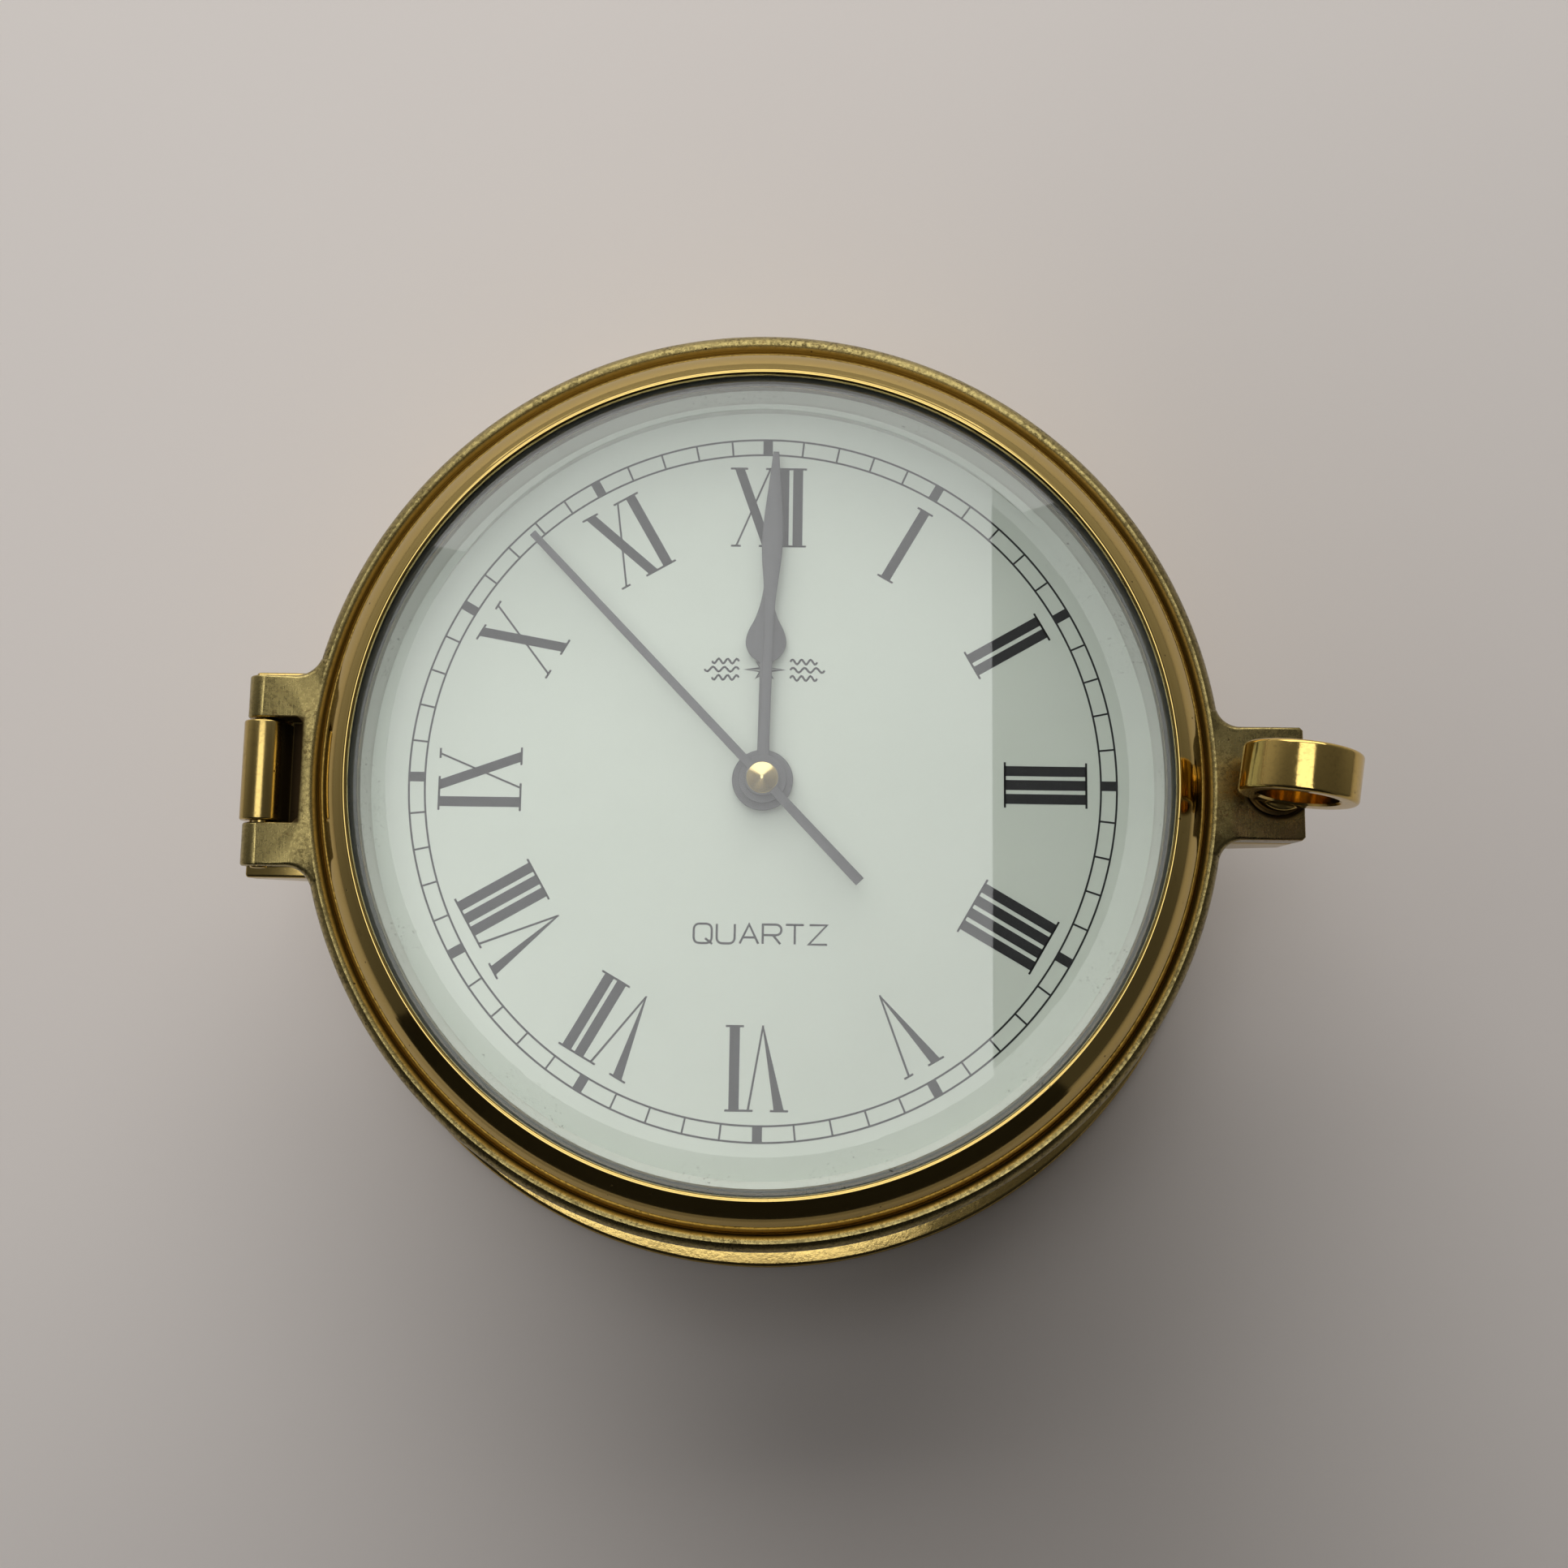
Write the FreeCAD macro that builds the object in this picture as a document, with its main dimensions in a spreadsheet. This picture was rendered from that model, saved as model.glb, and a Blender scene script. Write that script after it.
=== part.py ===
import FreeCAD, Part
import math
import os
import Sketcher

# Ship's deck clock in a flanged brass case, lying on its back.
# Frame: origin at the centre of the back face, +Z out through the glass,
# +Y towards the 12 o'clock numeral, +X towards the clasp.  Millimetres.

doc = FreeCAD.newDocument("DeckClock")
sheet = doc.addObject("Spreadsheet::Sheet", "Dimensions")

DIMENSIONS = {
    # case
    "base_radius": 82.0, "base_thickness": 2.4, "wall_radius": 66.5, "wall_bore": 63.4,
    "rim_height": 50.6, "seat_bore": 62.4, "ledge_height": 43.0, "ledge_bore": 59.0,
    "screw_circle": 76.0, "screw_hole": 2.2, "screw_sink": 4.2,
    "case_cove": 6.5, "case_edge": 0.9, "seal_inner": 63.3, "seal_outer": 64.9, "seal_groove": 0.8,
    "back_plate_radius": 62.3, "back_plate_thickness": 1.2, "back_shoulder": 1.6,
    "back_screw_circle": 60.2, "carrier_screw_circle": 60.7, "small_screw": 0.9,
    # bezel
    "bezel_radius": 70.0, "bezel_bottom": 51.0, "bezel_thickness": 5.3, "crest_radius": 68.4,
    "groove_radius": 67.0, "groove_height": 55.3, "lip_radius": 61.2, "lip_height": 61.4,
    "thread_bore": 64.3, "gasket_thickness": 0.8, "glass_radius": 62.6, "glass_bottom": 56.3, "glass_thickness": 5.0,
    "bevel_radius": 55.5, "bevel_drop": 1.3, "glass_seat": 4.0,
    # hinge
    "hinge_reach": 76.0, "barrel_radius": 3.15, "pin_radius": 1.25, "running_gap": 0.05,
    "tab_half": 14.5, "window_half": 8.0, "knuckle_half": 7.6, "bracket_half": 16.0,
    "bracket_top": 50.4, "tab_fillet": 4.0,
    # clasp
    "clasp_reach": 77.6, "clasp_end": 81.6, "clasp_half": 8.6, "clasp_fillet": 3.5,
    "clasp_recess": 5.3, "recess_depth": 1.0, "screw_shank": 2.0, "collar_radius": 4.4,
    "ring_radius": 8.35, "ring_hole": 5.66, "ring_half": 3.6, "ring_height": 66.3,
    "screw_tip": 45.5, "foot_top": 60.0,
    # dial and hands
    "dial_height": 48.0, "dial_thickness": 0.8, "dial_radius": 61.5, "dial_hole": 3.2, "feet_circle": 48.0,
    "hour_length": 33.0, "minute_length": 51.8, "second_length": 52.3, "second_tail": 21.6,
    "hour_hub": 4.7, "minute_hub": 3.7, "second_hub": 2.7, "hand_thickness": 0.3,
    # movement
    "housing_half": 28.0, "housing_top": 42.5, "housing_bottom": 25.5, "housing_wall": 1.5,
    "bushing_radius": 4.0, "hour_tube": 2.25, "minute_tube": 1.55, "second_shaft": 0.6,
    "carrier_thickness": 1.2, "battery_radius": 7.15, "battery_offset": 19.2, "battery_height": 33.2,
    "train_floor": 25.6, "train_plate": 36.8,
}
for row, (alias, number) in enumerate(DIMENSIONS.items(), start=1):
    sheet.set(f"A{row}", alias)
    sheet.set(f"B{row}", str(number))
    sheet.setAlias(f"B{row}", alias)
doc.recompute()


class Size:
    """A length that knows its value now and the formula that drives it."""

    def __init__(self, value, formula):
        self.value = float(value)
        self.formula = formula

    def _join(self, other, sign, value):
        return Size(value, f"({self.formula} {sign} {size(other).formula})")

    def __add__(self, other):
        return self._join(other, "+", self.value + size(other).value)

    def __sub__(self, other):
        return self._join(other, "-", self.value - size(other).value)

    def __mul__(self, other):
        return self._join(other, "*", self.value * size(other).value)

    def __truediv__(self, other):
        return self._join(other, "/", self.value / size(other).value)

    def __neg__(self):
        return Size(-self.value, f"(0 - {self.formula})")

    def root(self):
        return Size(math.sqrt(self.value), f"sqrt({self.formula})")


def size(number):
    """A plain number or a Size, as a Size."""
    return number if isinstance(number, Size) else Size(number, f"{number:.6g}")


def cell(alias):
    """The spreadsheet cell of that name."""
    return Size(sheet.get(alias), f"Dimensions.{alias}")


def polar(radius, degrees):
    """A point on a circle, counted from +X."""
    along = size(radius)
    x = Size(along.value * math.cos(math.radians(degrees)), f"({along.formula} * cos({degrees}))")
    y = Size(along.value * math.sin(math.radians(degrees)), f"({along.formula} * sin({degrees}))")
    return x, y


parts = []


def publish(item, label, x=0, y=0, degrees=0):
    """Name a finished sub-part and put it in its place."""
    item.Label = label
    item.Placement = FreeCAD.Placement(
        FreeCAD.Vector(size(x).value, size(y).value, 0),
        FreeCAD.Rotation(FreeCAD.Vector(0, 0, 1), degrees))
    for axis, place in (("x", size(x)), ("y", size(y))):
        if place.value:
            item.setExpression(f"Placement.Base.{axis}", place.formula)
    parts.append(item)
    return item


# ---------------------------------------------------------------- sketches

def origin_feature(body, role):
    return [item for item in body.Origin.OriginFeatures if item.Role == role][0]


def new_sketch(body, role, offset=0):
    """A sketch on one of the body's own planes, moved along the plane's normal."""
    sketch = body.newObject("Sketcher::SketchObject", "Sketch")
    sketch.AttachmentSupport = [(origin_feature(body, role), "")]
    sketch.MapMode = "FlatFace"
    sketch.AttachmentOffset = FreeCAD.Placement(
        FreeCAD.Vector(0, 0, size(offset).value), FreeCAD.Rotation())
    sketch.setExpression("AttachmentOffset.Base.z", size(offset).formula)
    return sketch


def bind(sketch, kind, references, length):
    """A driven constraint; a zero distance is put on the axis instead."""
    if kind in ("DistanceX", "DistanceY") and abs(length.value) < 1e-9:
        axis = -2 if kind == "DistanceX" else -1
        sketch.addConstraint(Sketcher.Constraint("PointOnObject", *references[2:], axis))
        return
    number = sketch.addConstraint(Sketcher.Constraint(kind, *references, length.value))
    name = f"size{number}"
    sketch.renameConstraint(number, name)
    sketch.setExpression(f"Constraints.{name}", length.formula)


def draw_outline(sketch, points, arcs=None):
    """A closed outline.  arcs maps an edge's number to (radius, side): side 1 bulges left."""
    arcs = arcs or {}
    points = [(size(x), size(y)) for x, y in points]
    corners = [FreeCAD.Vector(x.value, y.value, 0) for x, y in points]
    ends = []
    for index, start in enumerate(corners):
        stop = corners[(index + 1) % len(corners)]
        if index in arcs:
            radius, side = size(arcs[index][0]).value, arcs[index][1]
            chord = stop - start
            left = FreeCAD.Vector(-chord.y, chord.x, 0).normalize()
            rise = radius - math.sqrt(max(radius ** 2 - (chord.Length / 2) ** 2, 0))
            edge = Part.Arc(start, (start + stop) / 2 + left * side * rise, stop)
        else:
            edge = Part.LineSegment(start, stop)
        number = sketch.addGeometry(edge, False)
        first = 1 if sketch.getPoint(number, 1).distanceToPoint(start) < 1e-6 else 2
        ends.append((number, first, 3 - first))
    for index, (number, first, last) in enumerate(ends):
        following = ends[(index + 1) % len(ends)]
        sketch.addConstraint(
            Sketcher.Constraint("Coincident", number, last, following[0], following[1]))
        bind(sketch, "DistanceX", (-1, 1, number, first), points[index][0])
        bind(sketch, "DistanceY", (-1, 1, number, first), points[index][1])
        if index in arcs:
            bind(sketch, "Radius", (number,), size(arcs[index][0]))


def draw_circle(sketch, x, y, radius):
    x, y, radius = size(x), size(y), size(radius)
    centre = FreeCAD.Vector(x.value, y.value, 0)
    number = sketch.addGeometry(
        Part.Circle(centre, FreeCAD.Vector(0, 0, 1), radius.value), False)
    bind(sketch, "Radius", (number,), radius)
    bind(sketch, "DistanceX", (-1, 1, number, 3), x)
    bind(sketch, "DistanceY", (-1, 1, number, 3), y)


# ---------------------------------------------------------------- features

def add_feature(body, kind, sketch, **lengths):
    feature = body.newObject(f"PartDesign::{kind}", kind)
    feature.Profile = sketch
    for name, length in lengths.items():
        feature.setExpression(name, size(length).formula)
    return feature


def revolve(body, outline, arcs=None, kind="Revolution"):
    """A turned solid, or a turned cut, about the body's Z axis."""
    sketch = new_sketch(body, "XZ_Plane")
    draw_outline(sketch, outline, arcs)
    feature = add_feature(body, kind, sketch)
    feature.ReferenceAxis = (sketch, ["V_Axis"])
    feature.Angle = 360
    return feature


def pad(body, outline, bottom, height, arcs=None):
    """Material over a plan outline, upwards from bottom."""
    sketch = new_sketch(body, "XY_Plane", bottom)
    draw_outline(sketch, outline, arcs)
    return add_feature(body, "Pad", sketch, Length=height)


def pad_round(body, circles, bottom, height):
    """Material over one circle, or between two."""
    sketch = new_sketch(body, "XY_Plane", bottom)
    for x, y, radius in circles:
        draw_circle(sketch, x, y, radius)
    return add_feature(body, "Pad", sketch, Length=height)


def cut_round(body, circles, top, depth):
    """Round holes, downwards from top."""
    sketch = new_sketch(body, "XY_Plane", top)
    for x, y, radius in circles:
        draw_circle(sketch, x, y, radius)
    return add_feature(body, "Pocket", sketch, Length=depth)


def cut_outline(body, outline, top, depth):
    sketch = new_sketch(body, "XY_Plane", top)
    draw_outline(sketch, outline)
    return add_feature(body, "Pocket", sketch, Length=depth)


def pad_across(body, outline, half, arcs=None):
    """Material over an outline in the XZ plane, half to each side of it."""
    sketch = new_sketch(body, "XZ_Plane", -size(half))
    draw_outline(sketch, outline, arcs)
    return add_feature(body, "Pad", sketch, Length=size(half) * 2)


def pad_round_across(body, circles, half):
    sketch = new_sketch(body, "XZ_Plane", -size(half))
    for x, z, radius in circles:
        draw_circle(sketch, x, z, radius)
    return add_feature(body, "Pad", sketch, Length=size(half) * 2)


def cut_round_across(body, x, z, radius, half):
    sketch = new_sketch(body, "XZ_Plane", size(half))
    draw_circle(sketch, x, z, radius)
    return add_feature(body, "Pocket", sketch, Length=size(half) * 2)


def polar_copies(body, feature, count):
    """Repeat one cut round the body's Z axis."""
    pattern = body.newObject("PartDesign::PolarPattern", "PolarPattern")
    pattern.Originals = [feature]
    pattern.Axis = (origin_feature(body, "Z_Axis"), [""])
    pattern.Angle = 360
    pattern.Occurrences = count
    body.Tip = pattern
    return pattern


def new_body(name):
    return doc.addObject("PartDesign::Body", name)


def rectangle(left, right, low, high):
    return [(left, low), (right, low), (right, high), (left, high)]


def box(x, y, z, length, width, height):
    """A box by its low corner."""
    item = doc.addObject("Part::Box", "Block")
    for name, number in (("Length", length), ("Width", width), ("Height", height),
                         ("Placement.Base.x", x), ("Placement.Base.y", y), ("Placement.Base.z", z)):
        item.setExpression(name, size(number).formula)
    return item


def rod(x, y, z, radius, height):
    """An upright cylinder."""
    item = doc.addObject("Part::Cylinder", "Rod")
    for name, number in (("Radius", radius), ("Height", height),
                         ("Placement.Base.x", x), ("Placement.Base.y", y), ("Placement.Base.z", z)):
        item.setExpression(name, size(number).formula)
    return item


def rod_along_x(x, y, z, radius, length):
    item = rod(x, y, z, radius, length)
    item.Placement.Rotation = FreeCAD.Rotation(FreeCAD.Vector(0, 1, 0), 90)
    return item


def rod_along_y(x, y, z, radius, length):
    item = rod(x, y, z, radius, length)
    item.Placement.Rotation = FreeCAD.Rotation(FreeCAD.Vector(1, 0, 0), -90)
    return item


def cut(base, tool):
    item = doc.addObject("Part::Cut", "Cut")
    item.Base = base
    item.Tool = tool
    return item


def fuse(items):
    item = doc.addObject("Part::MultiFuse", "Fuse")
    item.Shapes = items
    return item


def group(items):
    item = doc.addObject("Part::Compound", "Group")
    item.Links = items
    return item


def collar(x, y, z, outer, inner, height):
    """A plain ring."""
    return cut(rod(x, y, z, outer, height), rod(x, y, z, inner, height))


# ---------------------------------------------------------------- case

def case_shell():
    """Turned case: thin flange, cove, straight wall, ledge for the movement carrier."""
    body = new_body("CaseShell")
    base, thick, wall = cell("base_radius"), cell("base_thickness"), cell("wall_radius")
    cove, edge = cell("case_cove"), cell("case_edge")
    shoulder = cell("back_shoulder")
    rim, ledge = cell("rim_height"), cell("ledge_height")
    bore, seat = cell("wall_bore"), cell("seat_bore")
    rib = cell("ledge_bore")
    seal_in, seal_out = cell("seal_inner"), cell("seal_outer")
    seal_floor = rim - cell("seal_groove")
    outline = [
        (cell("back_plate_radius") + 0.1, 0),
        (base - edge, 0), (base, edge), (base - edge, edge * 2),
        (wall + cove, thick), (wall, thick + cove),
        (wall, rim - 0.6), (wall - 0.6, rim),
        (seal_out, rim), (seal_out, seal_floor), (seal_in, seal_floor), (seal_in, rim),
        (seat, rim), (seat, ledge), (rib, ledge), (rib, ledge - 3), (bore, ledge - 6),
        (bore, 3.2), (58.0, 3.2), (58.0, shoulder), (cell("back_plate_radius") + 0.1, shoulder),
    ]
    arcs = {1: (edge, -1), 2: (edge, -1), 4: (cove, 1)}
    revolve(body, outline, arcs)
    for index in range(3):
        x, y = polar(cell("screw_circle"), 90 + 120 * index)
        cut_round(body, [(x, y, cell("screw_hole"))], thick + 1, thick + 2)
        cut_round(body, [(x, y, cell("screw_sink"))], thick + 1, 1.9)
    for index in range(4):
        x, y = polar(cell("back_screw_circle"), 45 + 90 * index)
        cut_round(body, [(x, y, cell("small_screw"))], 4, 4)
    for index in range(3):
        x, y = polar(cell("carrier_screw_circle"), 30 + 120 * index)
        cut_round(body, [(x, y, cell("small_screw"))], ledge + 1, 4)
    publish(body, "case_shell")


def back_plate():
    body = new_body("BackPlate")
    thickness, shoulder = cell("back_plate_thickness"), cell("back_shoulder")
    pad_round(body, [(0, 0, cell("back_plate_radius"))], shoulder - thickness, thickness)
    for index in range(4):
        x, y = polar(cell("back_screw_circle"), 45 + 90 * index)
        cut_round(body, [(x, y, cell("small_screw"))], 4, 5)
    publish(body, "case_back_plate")


def slotted_screw(x, y, under, length, shank, head, head_height, facing):
    """A cheese-head screw; facing 1 has its head above under, -1 below."""
    low = size(under) if facing > 0 else size(under) - head_height
    stem = size(under) - length if facing > 0 else under
    top = size(low) + head_height - 0.3 if facing > 0 else low
    solid = fuse([rod(x, y, low, head, head_height), rod(x, y, stem, shank, length)])
    return cut(solid, box(size(x) - head, size(y) - 0.15, top, size(head) * 2, 0.3, 0.3))


def back_plate_screws():
    under = cell("back_shoulder") - cell("back_plate_thickness")
    shank = cell("small_screw")
    places = [polar(cell("back_screw_circle"), 45 + 90 * index) for index in range(4)]
    publish(group([slotted_screw(x, y, under, 2.6, shank, 1.7, 0.35, -1) for x, y in places]),
            "back_plate_screws")


def case_seal():
    groove = cell("seal_groove")
    publish(collar(0, 0, cell("rim_height") - groove, cell("seal_outer"), cell("seal_inner"),
                   groove + 0.25), "case_seal_ring")


def hinge_bracket():
    """Bracket on the case wall with the barrel that stands between the bezel's lugs."""
    body = new_body("HingeBracket")
    top, reach, barrel = cell("bracket_top"), cell("hinge_reach"), cell("barrel_radius")
    axis_height = cell("bezel_bottom") + cell("bezel_thickness") / 2
    outer = reach + barrel
    pad_across(body, [(-outer, top - 4.4), (-60, 33), (-60, top), (-outer, top)],
               cell("bracket_half"))
    pad_across(body, rectangle(-outer, -(reach - barrel), top - 1, axis_height),
               cell("knuckle_half"))
    pad_round_across(body, [(-reach, axis_height, barrel)], cell("knuckle_half"))
    cut_round_across(body, -reach, axis_height, cell("pin_radius"), 20)
    cut_round(body, [(0, 0, cell("wall_radius"))], 60, 60)
    publish(body, "hinge_bracket")


def hinge_pin():
    half = cell("tab_half") + 0.3
    height = cell("bezel_bottom") + cell("bezel_thickness") / 2
    shaft = rod_along_y(-cell("hinge_reach"), -half, height, cell("pin_radius"), half * 2)
    publish(group([shaft]), "hinge_pin")


def clasp_bracket():
    """Bracket on the case wall that the ring screw bites into."""
    body = new_body("ClaspBracket")
    top, end = cell("bracket_top"), cell("clasp_end")
    pad_across(body, [(60, top), (60, 33), (end, top - 7), (end, top)], cell("clasp_half"))
    cut_round(body, [(0, 0, cell("wall_radius"))], 60, 60)
    cut_round(body, [(cell("clasp_reach"), 0, cell("screw_shank") + 0.5)], top, 6)
    publish(body, "clasp_bracket")


# ---------------------------------------------------------------- bezel

def tangent_lug(end, half, fillet, side):
    """Plan outline of a flat lug that flows into the bezel's rim, with its arcs."""
    rim, crest = cell("bezel_radius"), cell("crest_radius")
    reach = rim + fillet
    centre_y = size(half) + fillet
    centre_x = (reach * reach - centre_y * centre_y).root()
    meet = [(centre_x * rim / reach, centre_y * rim / reach),
            (centre_x * crest / reach, centre_y * crest / reach)]
    upper = [(end, half), (centre_x, half), meet[0], meet[1]]
    lower = [(x, -size(y)) for x, y in reversed(upper)]
    outline = [(size(x) * side, y) for x, y in upper + lower]
    arcs = {1: (fillet, side), 3: (crest, side), 5: (fillet, side)}
    return outline, arcs


def bezel_ring():
    """One casting: beaded rim, domed face, hinge lugs and clasp lug."""
    body = new_body("BezelRing")
    rim, bottom, thick = cell("bezel_radius"), cell("bezel_bottom"), cell("bezel_thickness")
    groove, groove_height = cell("groove_radius"), cell("groove_height")
    lip, lip_height = cell("lip_radius"), cell("lip_height")
    crest, bead = cell("crest_radius"), thick / 2
    rebate = cell("glass_radius") + 0.2
    seat = cell("glass_bottom") + cell("glass_seat")
    rebate_floor = cell("glass_bottom") - cell("gasket_thickness")
    outline = [
        (cell("thread_bore"), bottom), (rim - bead, bottom), (rim, bottom + bead),
        (crest, bottom + thick), (groove, groove_height),
        (lip + 0.7, lip_height - 0.25), (lip, lip_height - 0.35),
        (lip, seat), (rebate, seat), (rebate, rebate_floor), (cell("thread_bore"), rebate_floor),
    ]
    arcs = {1: (bead, -1), 2: (2.7, -1), 3: (2.0, -1), 4: (11.0, -1), 5: (0.4, -1)}
    revolve(body, outline, arcs)
    hinge_x = cell("hinge_reach")
    plan, plan_arcs = tangent_lug(hinge_x, cell("tab_half"), cell("tab_fillet"), -1)
    pad(body, plan, bottom, thick, plan_arcs)
    pad_round_across(body, [(-hinge_x, bottom + bead, bead)], cell("tab_half"))
    plan, plan_arcs = tangent_lug(cell("clasp_end"), cell("clasp_half"), cell("clasp_fillet"), 1)
    pad(body, plan, bottom, thick, plan_arcs)
    window = cell("window_half")
    cut_outline(body, rectangle(-90, -69.7, -window, window), bottom + thick + 1, thick + 2)
    cut_round_across(body, -hinge_x, bottom + bead, cell("pin_radius") + cell("running_gap"), 20)
    clasp_x = cell("clasp_reach")
    cut_round(body, [(clasp_x, 0, cell("clasp_recess"))], bottom + thick, cell("recess_depth"))
    cut_round(body, [(clasp_x, 0, cell("screw_shank") + 0.3)], bottom + thick, thick + 1)
    publish(body, "bezel_ring")


def clock_glass():
    """Flat plate glass with a broad bevel round its edge."""
    body = new_body("Glass")
    radius, bottom, thick = cell("glass_radius"), cell("glass_bottom"), cell("glass_thickness")
    drop, bevel, lip = cell("bevel_drop"), cell("bevel_radius"), cell("lip_radius")
    revolve(body, [(0, bottom), (radius, bottom), (radius, bottom + thick - drop),
                   (lip, bottom + thick - drop), (bevel, bottom + thick), (0, bottom + thick)])
    publish(body, "glass")


def glass_gasket():
    thick, radius = cell("gasket_thickness"), cell("glass_radius")
    publish(collar(0, 0, cell("glass_bottom") - thick, radius, radius - 2.2, thick), "glass_gasket")


def glass_retaining_ring():
    """Threaded ring that presses the glass up into the bezel, with four key slots."""
    body = new_body("RetainingRing")
    radius, thick = cell("thread_bore"), size(2.3)
    bottom = cell("glass_bottom") - cell("gasket_thickness") - thick
    pad_round(body, [(0, 0, radius), (0, 0, radius - 4.1)], bottom, thick)
    sketch = new_sketch(body, "XY_Plane", bottom + 1)
    draw_outline(sketch, rectangle(radius - 3, radius + 1, -1, 1))
    slot = add_feature(body, "Pocket", sketch, Length=2)
    polar_copies(body, slot, 4)
    publish(body, "glass_retaining_ring")


def thumbscrew_washer():
    floor = cell("bezel_bottom") + cell("bezel_thickness") - cell("recess_depth")
    publish(collar(0, 0, floor + 0.05, 4.9, cell("screw_shank") + 0.3, 0.45),
            "thumbscrew_washer", cell("clasp_reach"))


def ring_thumbscrew():
    """Clamp screw whose head is an upright finger ring on a round foot."""
    body = new_body("RingThumbscrew")
    foot = cell("bezel_bottom") + cell("bezel_thickness") - cell("recess_depth") + 0.55
    tip, height = cell("screw_tip"), cell("ring_height")
    pad_round(body, [(0, 0, cell("screw_shank"))], tip, foot - tip)
    pad_round(body, [(0, 0, cell("collar_radius"))], foot, cell("foot_top") - foot)
    pad_round_across(body, [(0, height, cell("ring_radius")), (0, height, cell("ring_hole"))],
                     cell("ring_half"))
    publish(body, "ring_thumbscrew", cell("clasp_reach"), 0, -8.6)


# ---------------------------------------------------------------- dial and hands

def dial():
    body = new_body("DialPlate")
    thick = cell("dial_thickness")
    pad_round(body, [(0, 0, cell("dial_radius")), (0, 0, cell("dial_hole"))],
              cell("dial_height") - thick, thick)
    publish(body, "dial_plate")


def rehaut():
    """White sloping ring that stands on the edge of the dial, inside the bezel."""
    body = new_body("Rehaut")
    floor, outer = cell("dial_height"), cell("seat_bore") - 0.2
    revolve(body, [(59.2, floor), (outer, floor), (outer, floor + 2.4),
                   (61.4, floor + 2.4), (61.4, floor + 4.4), (60.4, floor + 4.4)])
    publish(body, "rehaut_ring")


def hand_blade(name, label, outline, hub, bore, bottom, degrees, arcs=None):
    """A stamped hand: blade, round hub and the hole for its collet."""
    body = new_body(name)
    thick = cell("hand_thickness")
    pad(body, outline, bottom, thick, arcs)
    pad_round(body, [(0, 0, hub)], bottom, thick)
    cut_round(body, [(0, 0, bore)], bottom + 1, 2)
    publish(body, label, 0, 0, degrees)


def mirrored(right):
    """A hand's outline from its right-hand side, root to tip."""
    return right + [(-size(x), y) for x, y in reversed(right)]


def hands():
    """Hour, minute and seconds hands with their collets, at the time shown."""
    face = cell("dial_height")
    spade = mirrored([(0.95, 0), (0.9, 18.6), (2.3, 19.5), (3.15, 21.8), (1.7, 25.0),
                      (0.3, cell("hour_length"))])
    hand_blade("HourHand", "hour_hand", spade, cell("hour_hub"), 3.0, face + 1.6, -0.5,
               {1: (1.6, 1), 2: (3.0, -1), 3: (3.6, -1), 7: (3.6, -1), 8: (3.0, -1), 9: (1.6, 1)})
    leaf = mirrored([(0.85, 0), (0.75, 26.2), (1.6, 37.4), (0.45, cell("minute_length"))])
    hand_blade("MinuteHand", "minute_hand", leaf, cell("minute_hub"), 2.2, face + 3.0, -1.5)
    tail = -cell("second_tail")
    needle = mirrored([(0.8, tail), (0.55, cell("second_length"))])
    hand_blade("SecondsHand", "seconds_hand", needle, cell("second_hub"), 1.2, face + 4.5, 43.8)
    publish(collar(0, 0, face + 0.7, 3.0, cell("hour_tube"), 1.5), "hour_hand_collet")
    publish(collar(0, 0, face + 2.5, 2.2, cell("minute_tube"), 1.1), "minute_hand_collet")
    publish(collar(0, 0, face + 4.0, 1.2, cell("second_shaft"), 1.0), "seconds_hand_collet")
    cap = new_body("HandCap")
    base = face + 4.5 + cell("hand_thickness")
    revolve(cap, [(1.2, base), (2.4, base), (2.4, base + 0.5), (1.9, base + 1.1), (0, base + 1.5),
                  (0, face + 5.05), (1.2, face + 5.05)])
    publish(cap, "seconds_hand_cap")


def dial_feet():
    """Three posts that hold the dial off the carrier plate."""
    low = cell("ledge_height") + cell("carrier_thickness")
    height = cell("dial_height") - cell("dial_thickness") - low
    places = [polar(cell("feet_circle"), 90 + 120 * index) for index in range(3)]
    publish(group([rod(x, y, low, 1.5, height) for x, y in places]), "dial_feet")


# ---------------------------------------------------------------- movement mounting

def carrier_plate():
    body = new_body("CarrierPlate")
    low, thick = cell("ledge_height"), cell("carrier_thickness")
    pad_round(body, [(0, 0, cell("seat_bore") - 0.1), (0, 0, cell("bushing_radius"))], low, thick)
    for index in range(3):
        x, y = polar(cell("carrier_screw_circle"), 30 + 120 * index)
        cut_round(body, [(x, y, cell("small_screw"))], low + 2, 3)
    publish(body, "movement_carrier_plate")


def carrier_screws():
    under = cell("ledge_height") + cell("carrier_thickness")
    shank = cell("small_screw")
    places = [polar(cell("carrier_screw_circle"), 30 + 120 * index) for index in range(3)]
    publish(group([slotted_screw(x, y, under, 3.6, shank, 1.6, 1.0, 1) for x, y in places]),
            "carrier_screws")


def centre_bushing():
    bottom = cell("housing_top") - cell("housing_wall")
    publish(collar(0, 0, bottom, cell("bushing_radius"), cell("hour_tube") + cell("running_gap"),
                   5.8), "centre_bushing")


def fixing_nut():
    body = new_body("FixingNut")
    low = cell("ledge_height") + cell("carrier_thickness")
    corners = [polar(6.9, 60 * index) for index in range(6)]
    pad(body, corners, low, 2.0)
    cut_round(body, [(0, 0, cell("bushing_radius"))], low + 3, 4)
    publish(body, "movement_fixing_nut")


def movement_cushion():
    publish(collar(0, 0, cell("housing_top"), 9.0, cell("bushing_radius"), 0.5),
            "movement_cushion")


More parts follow.
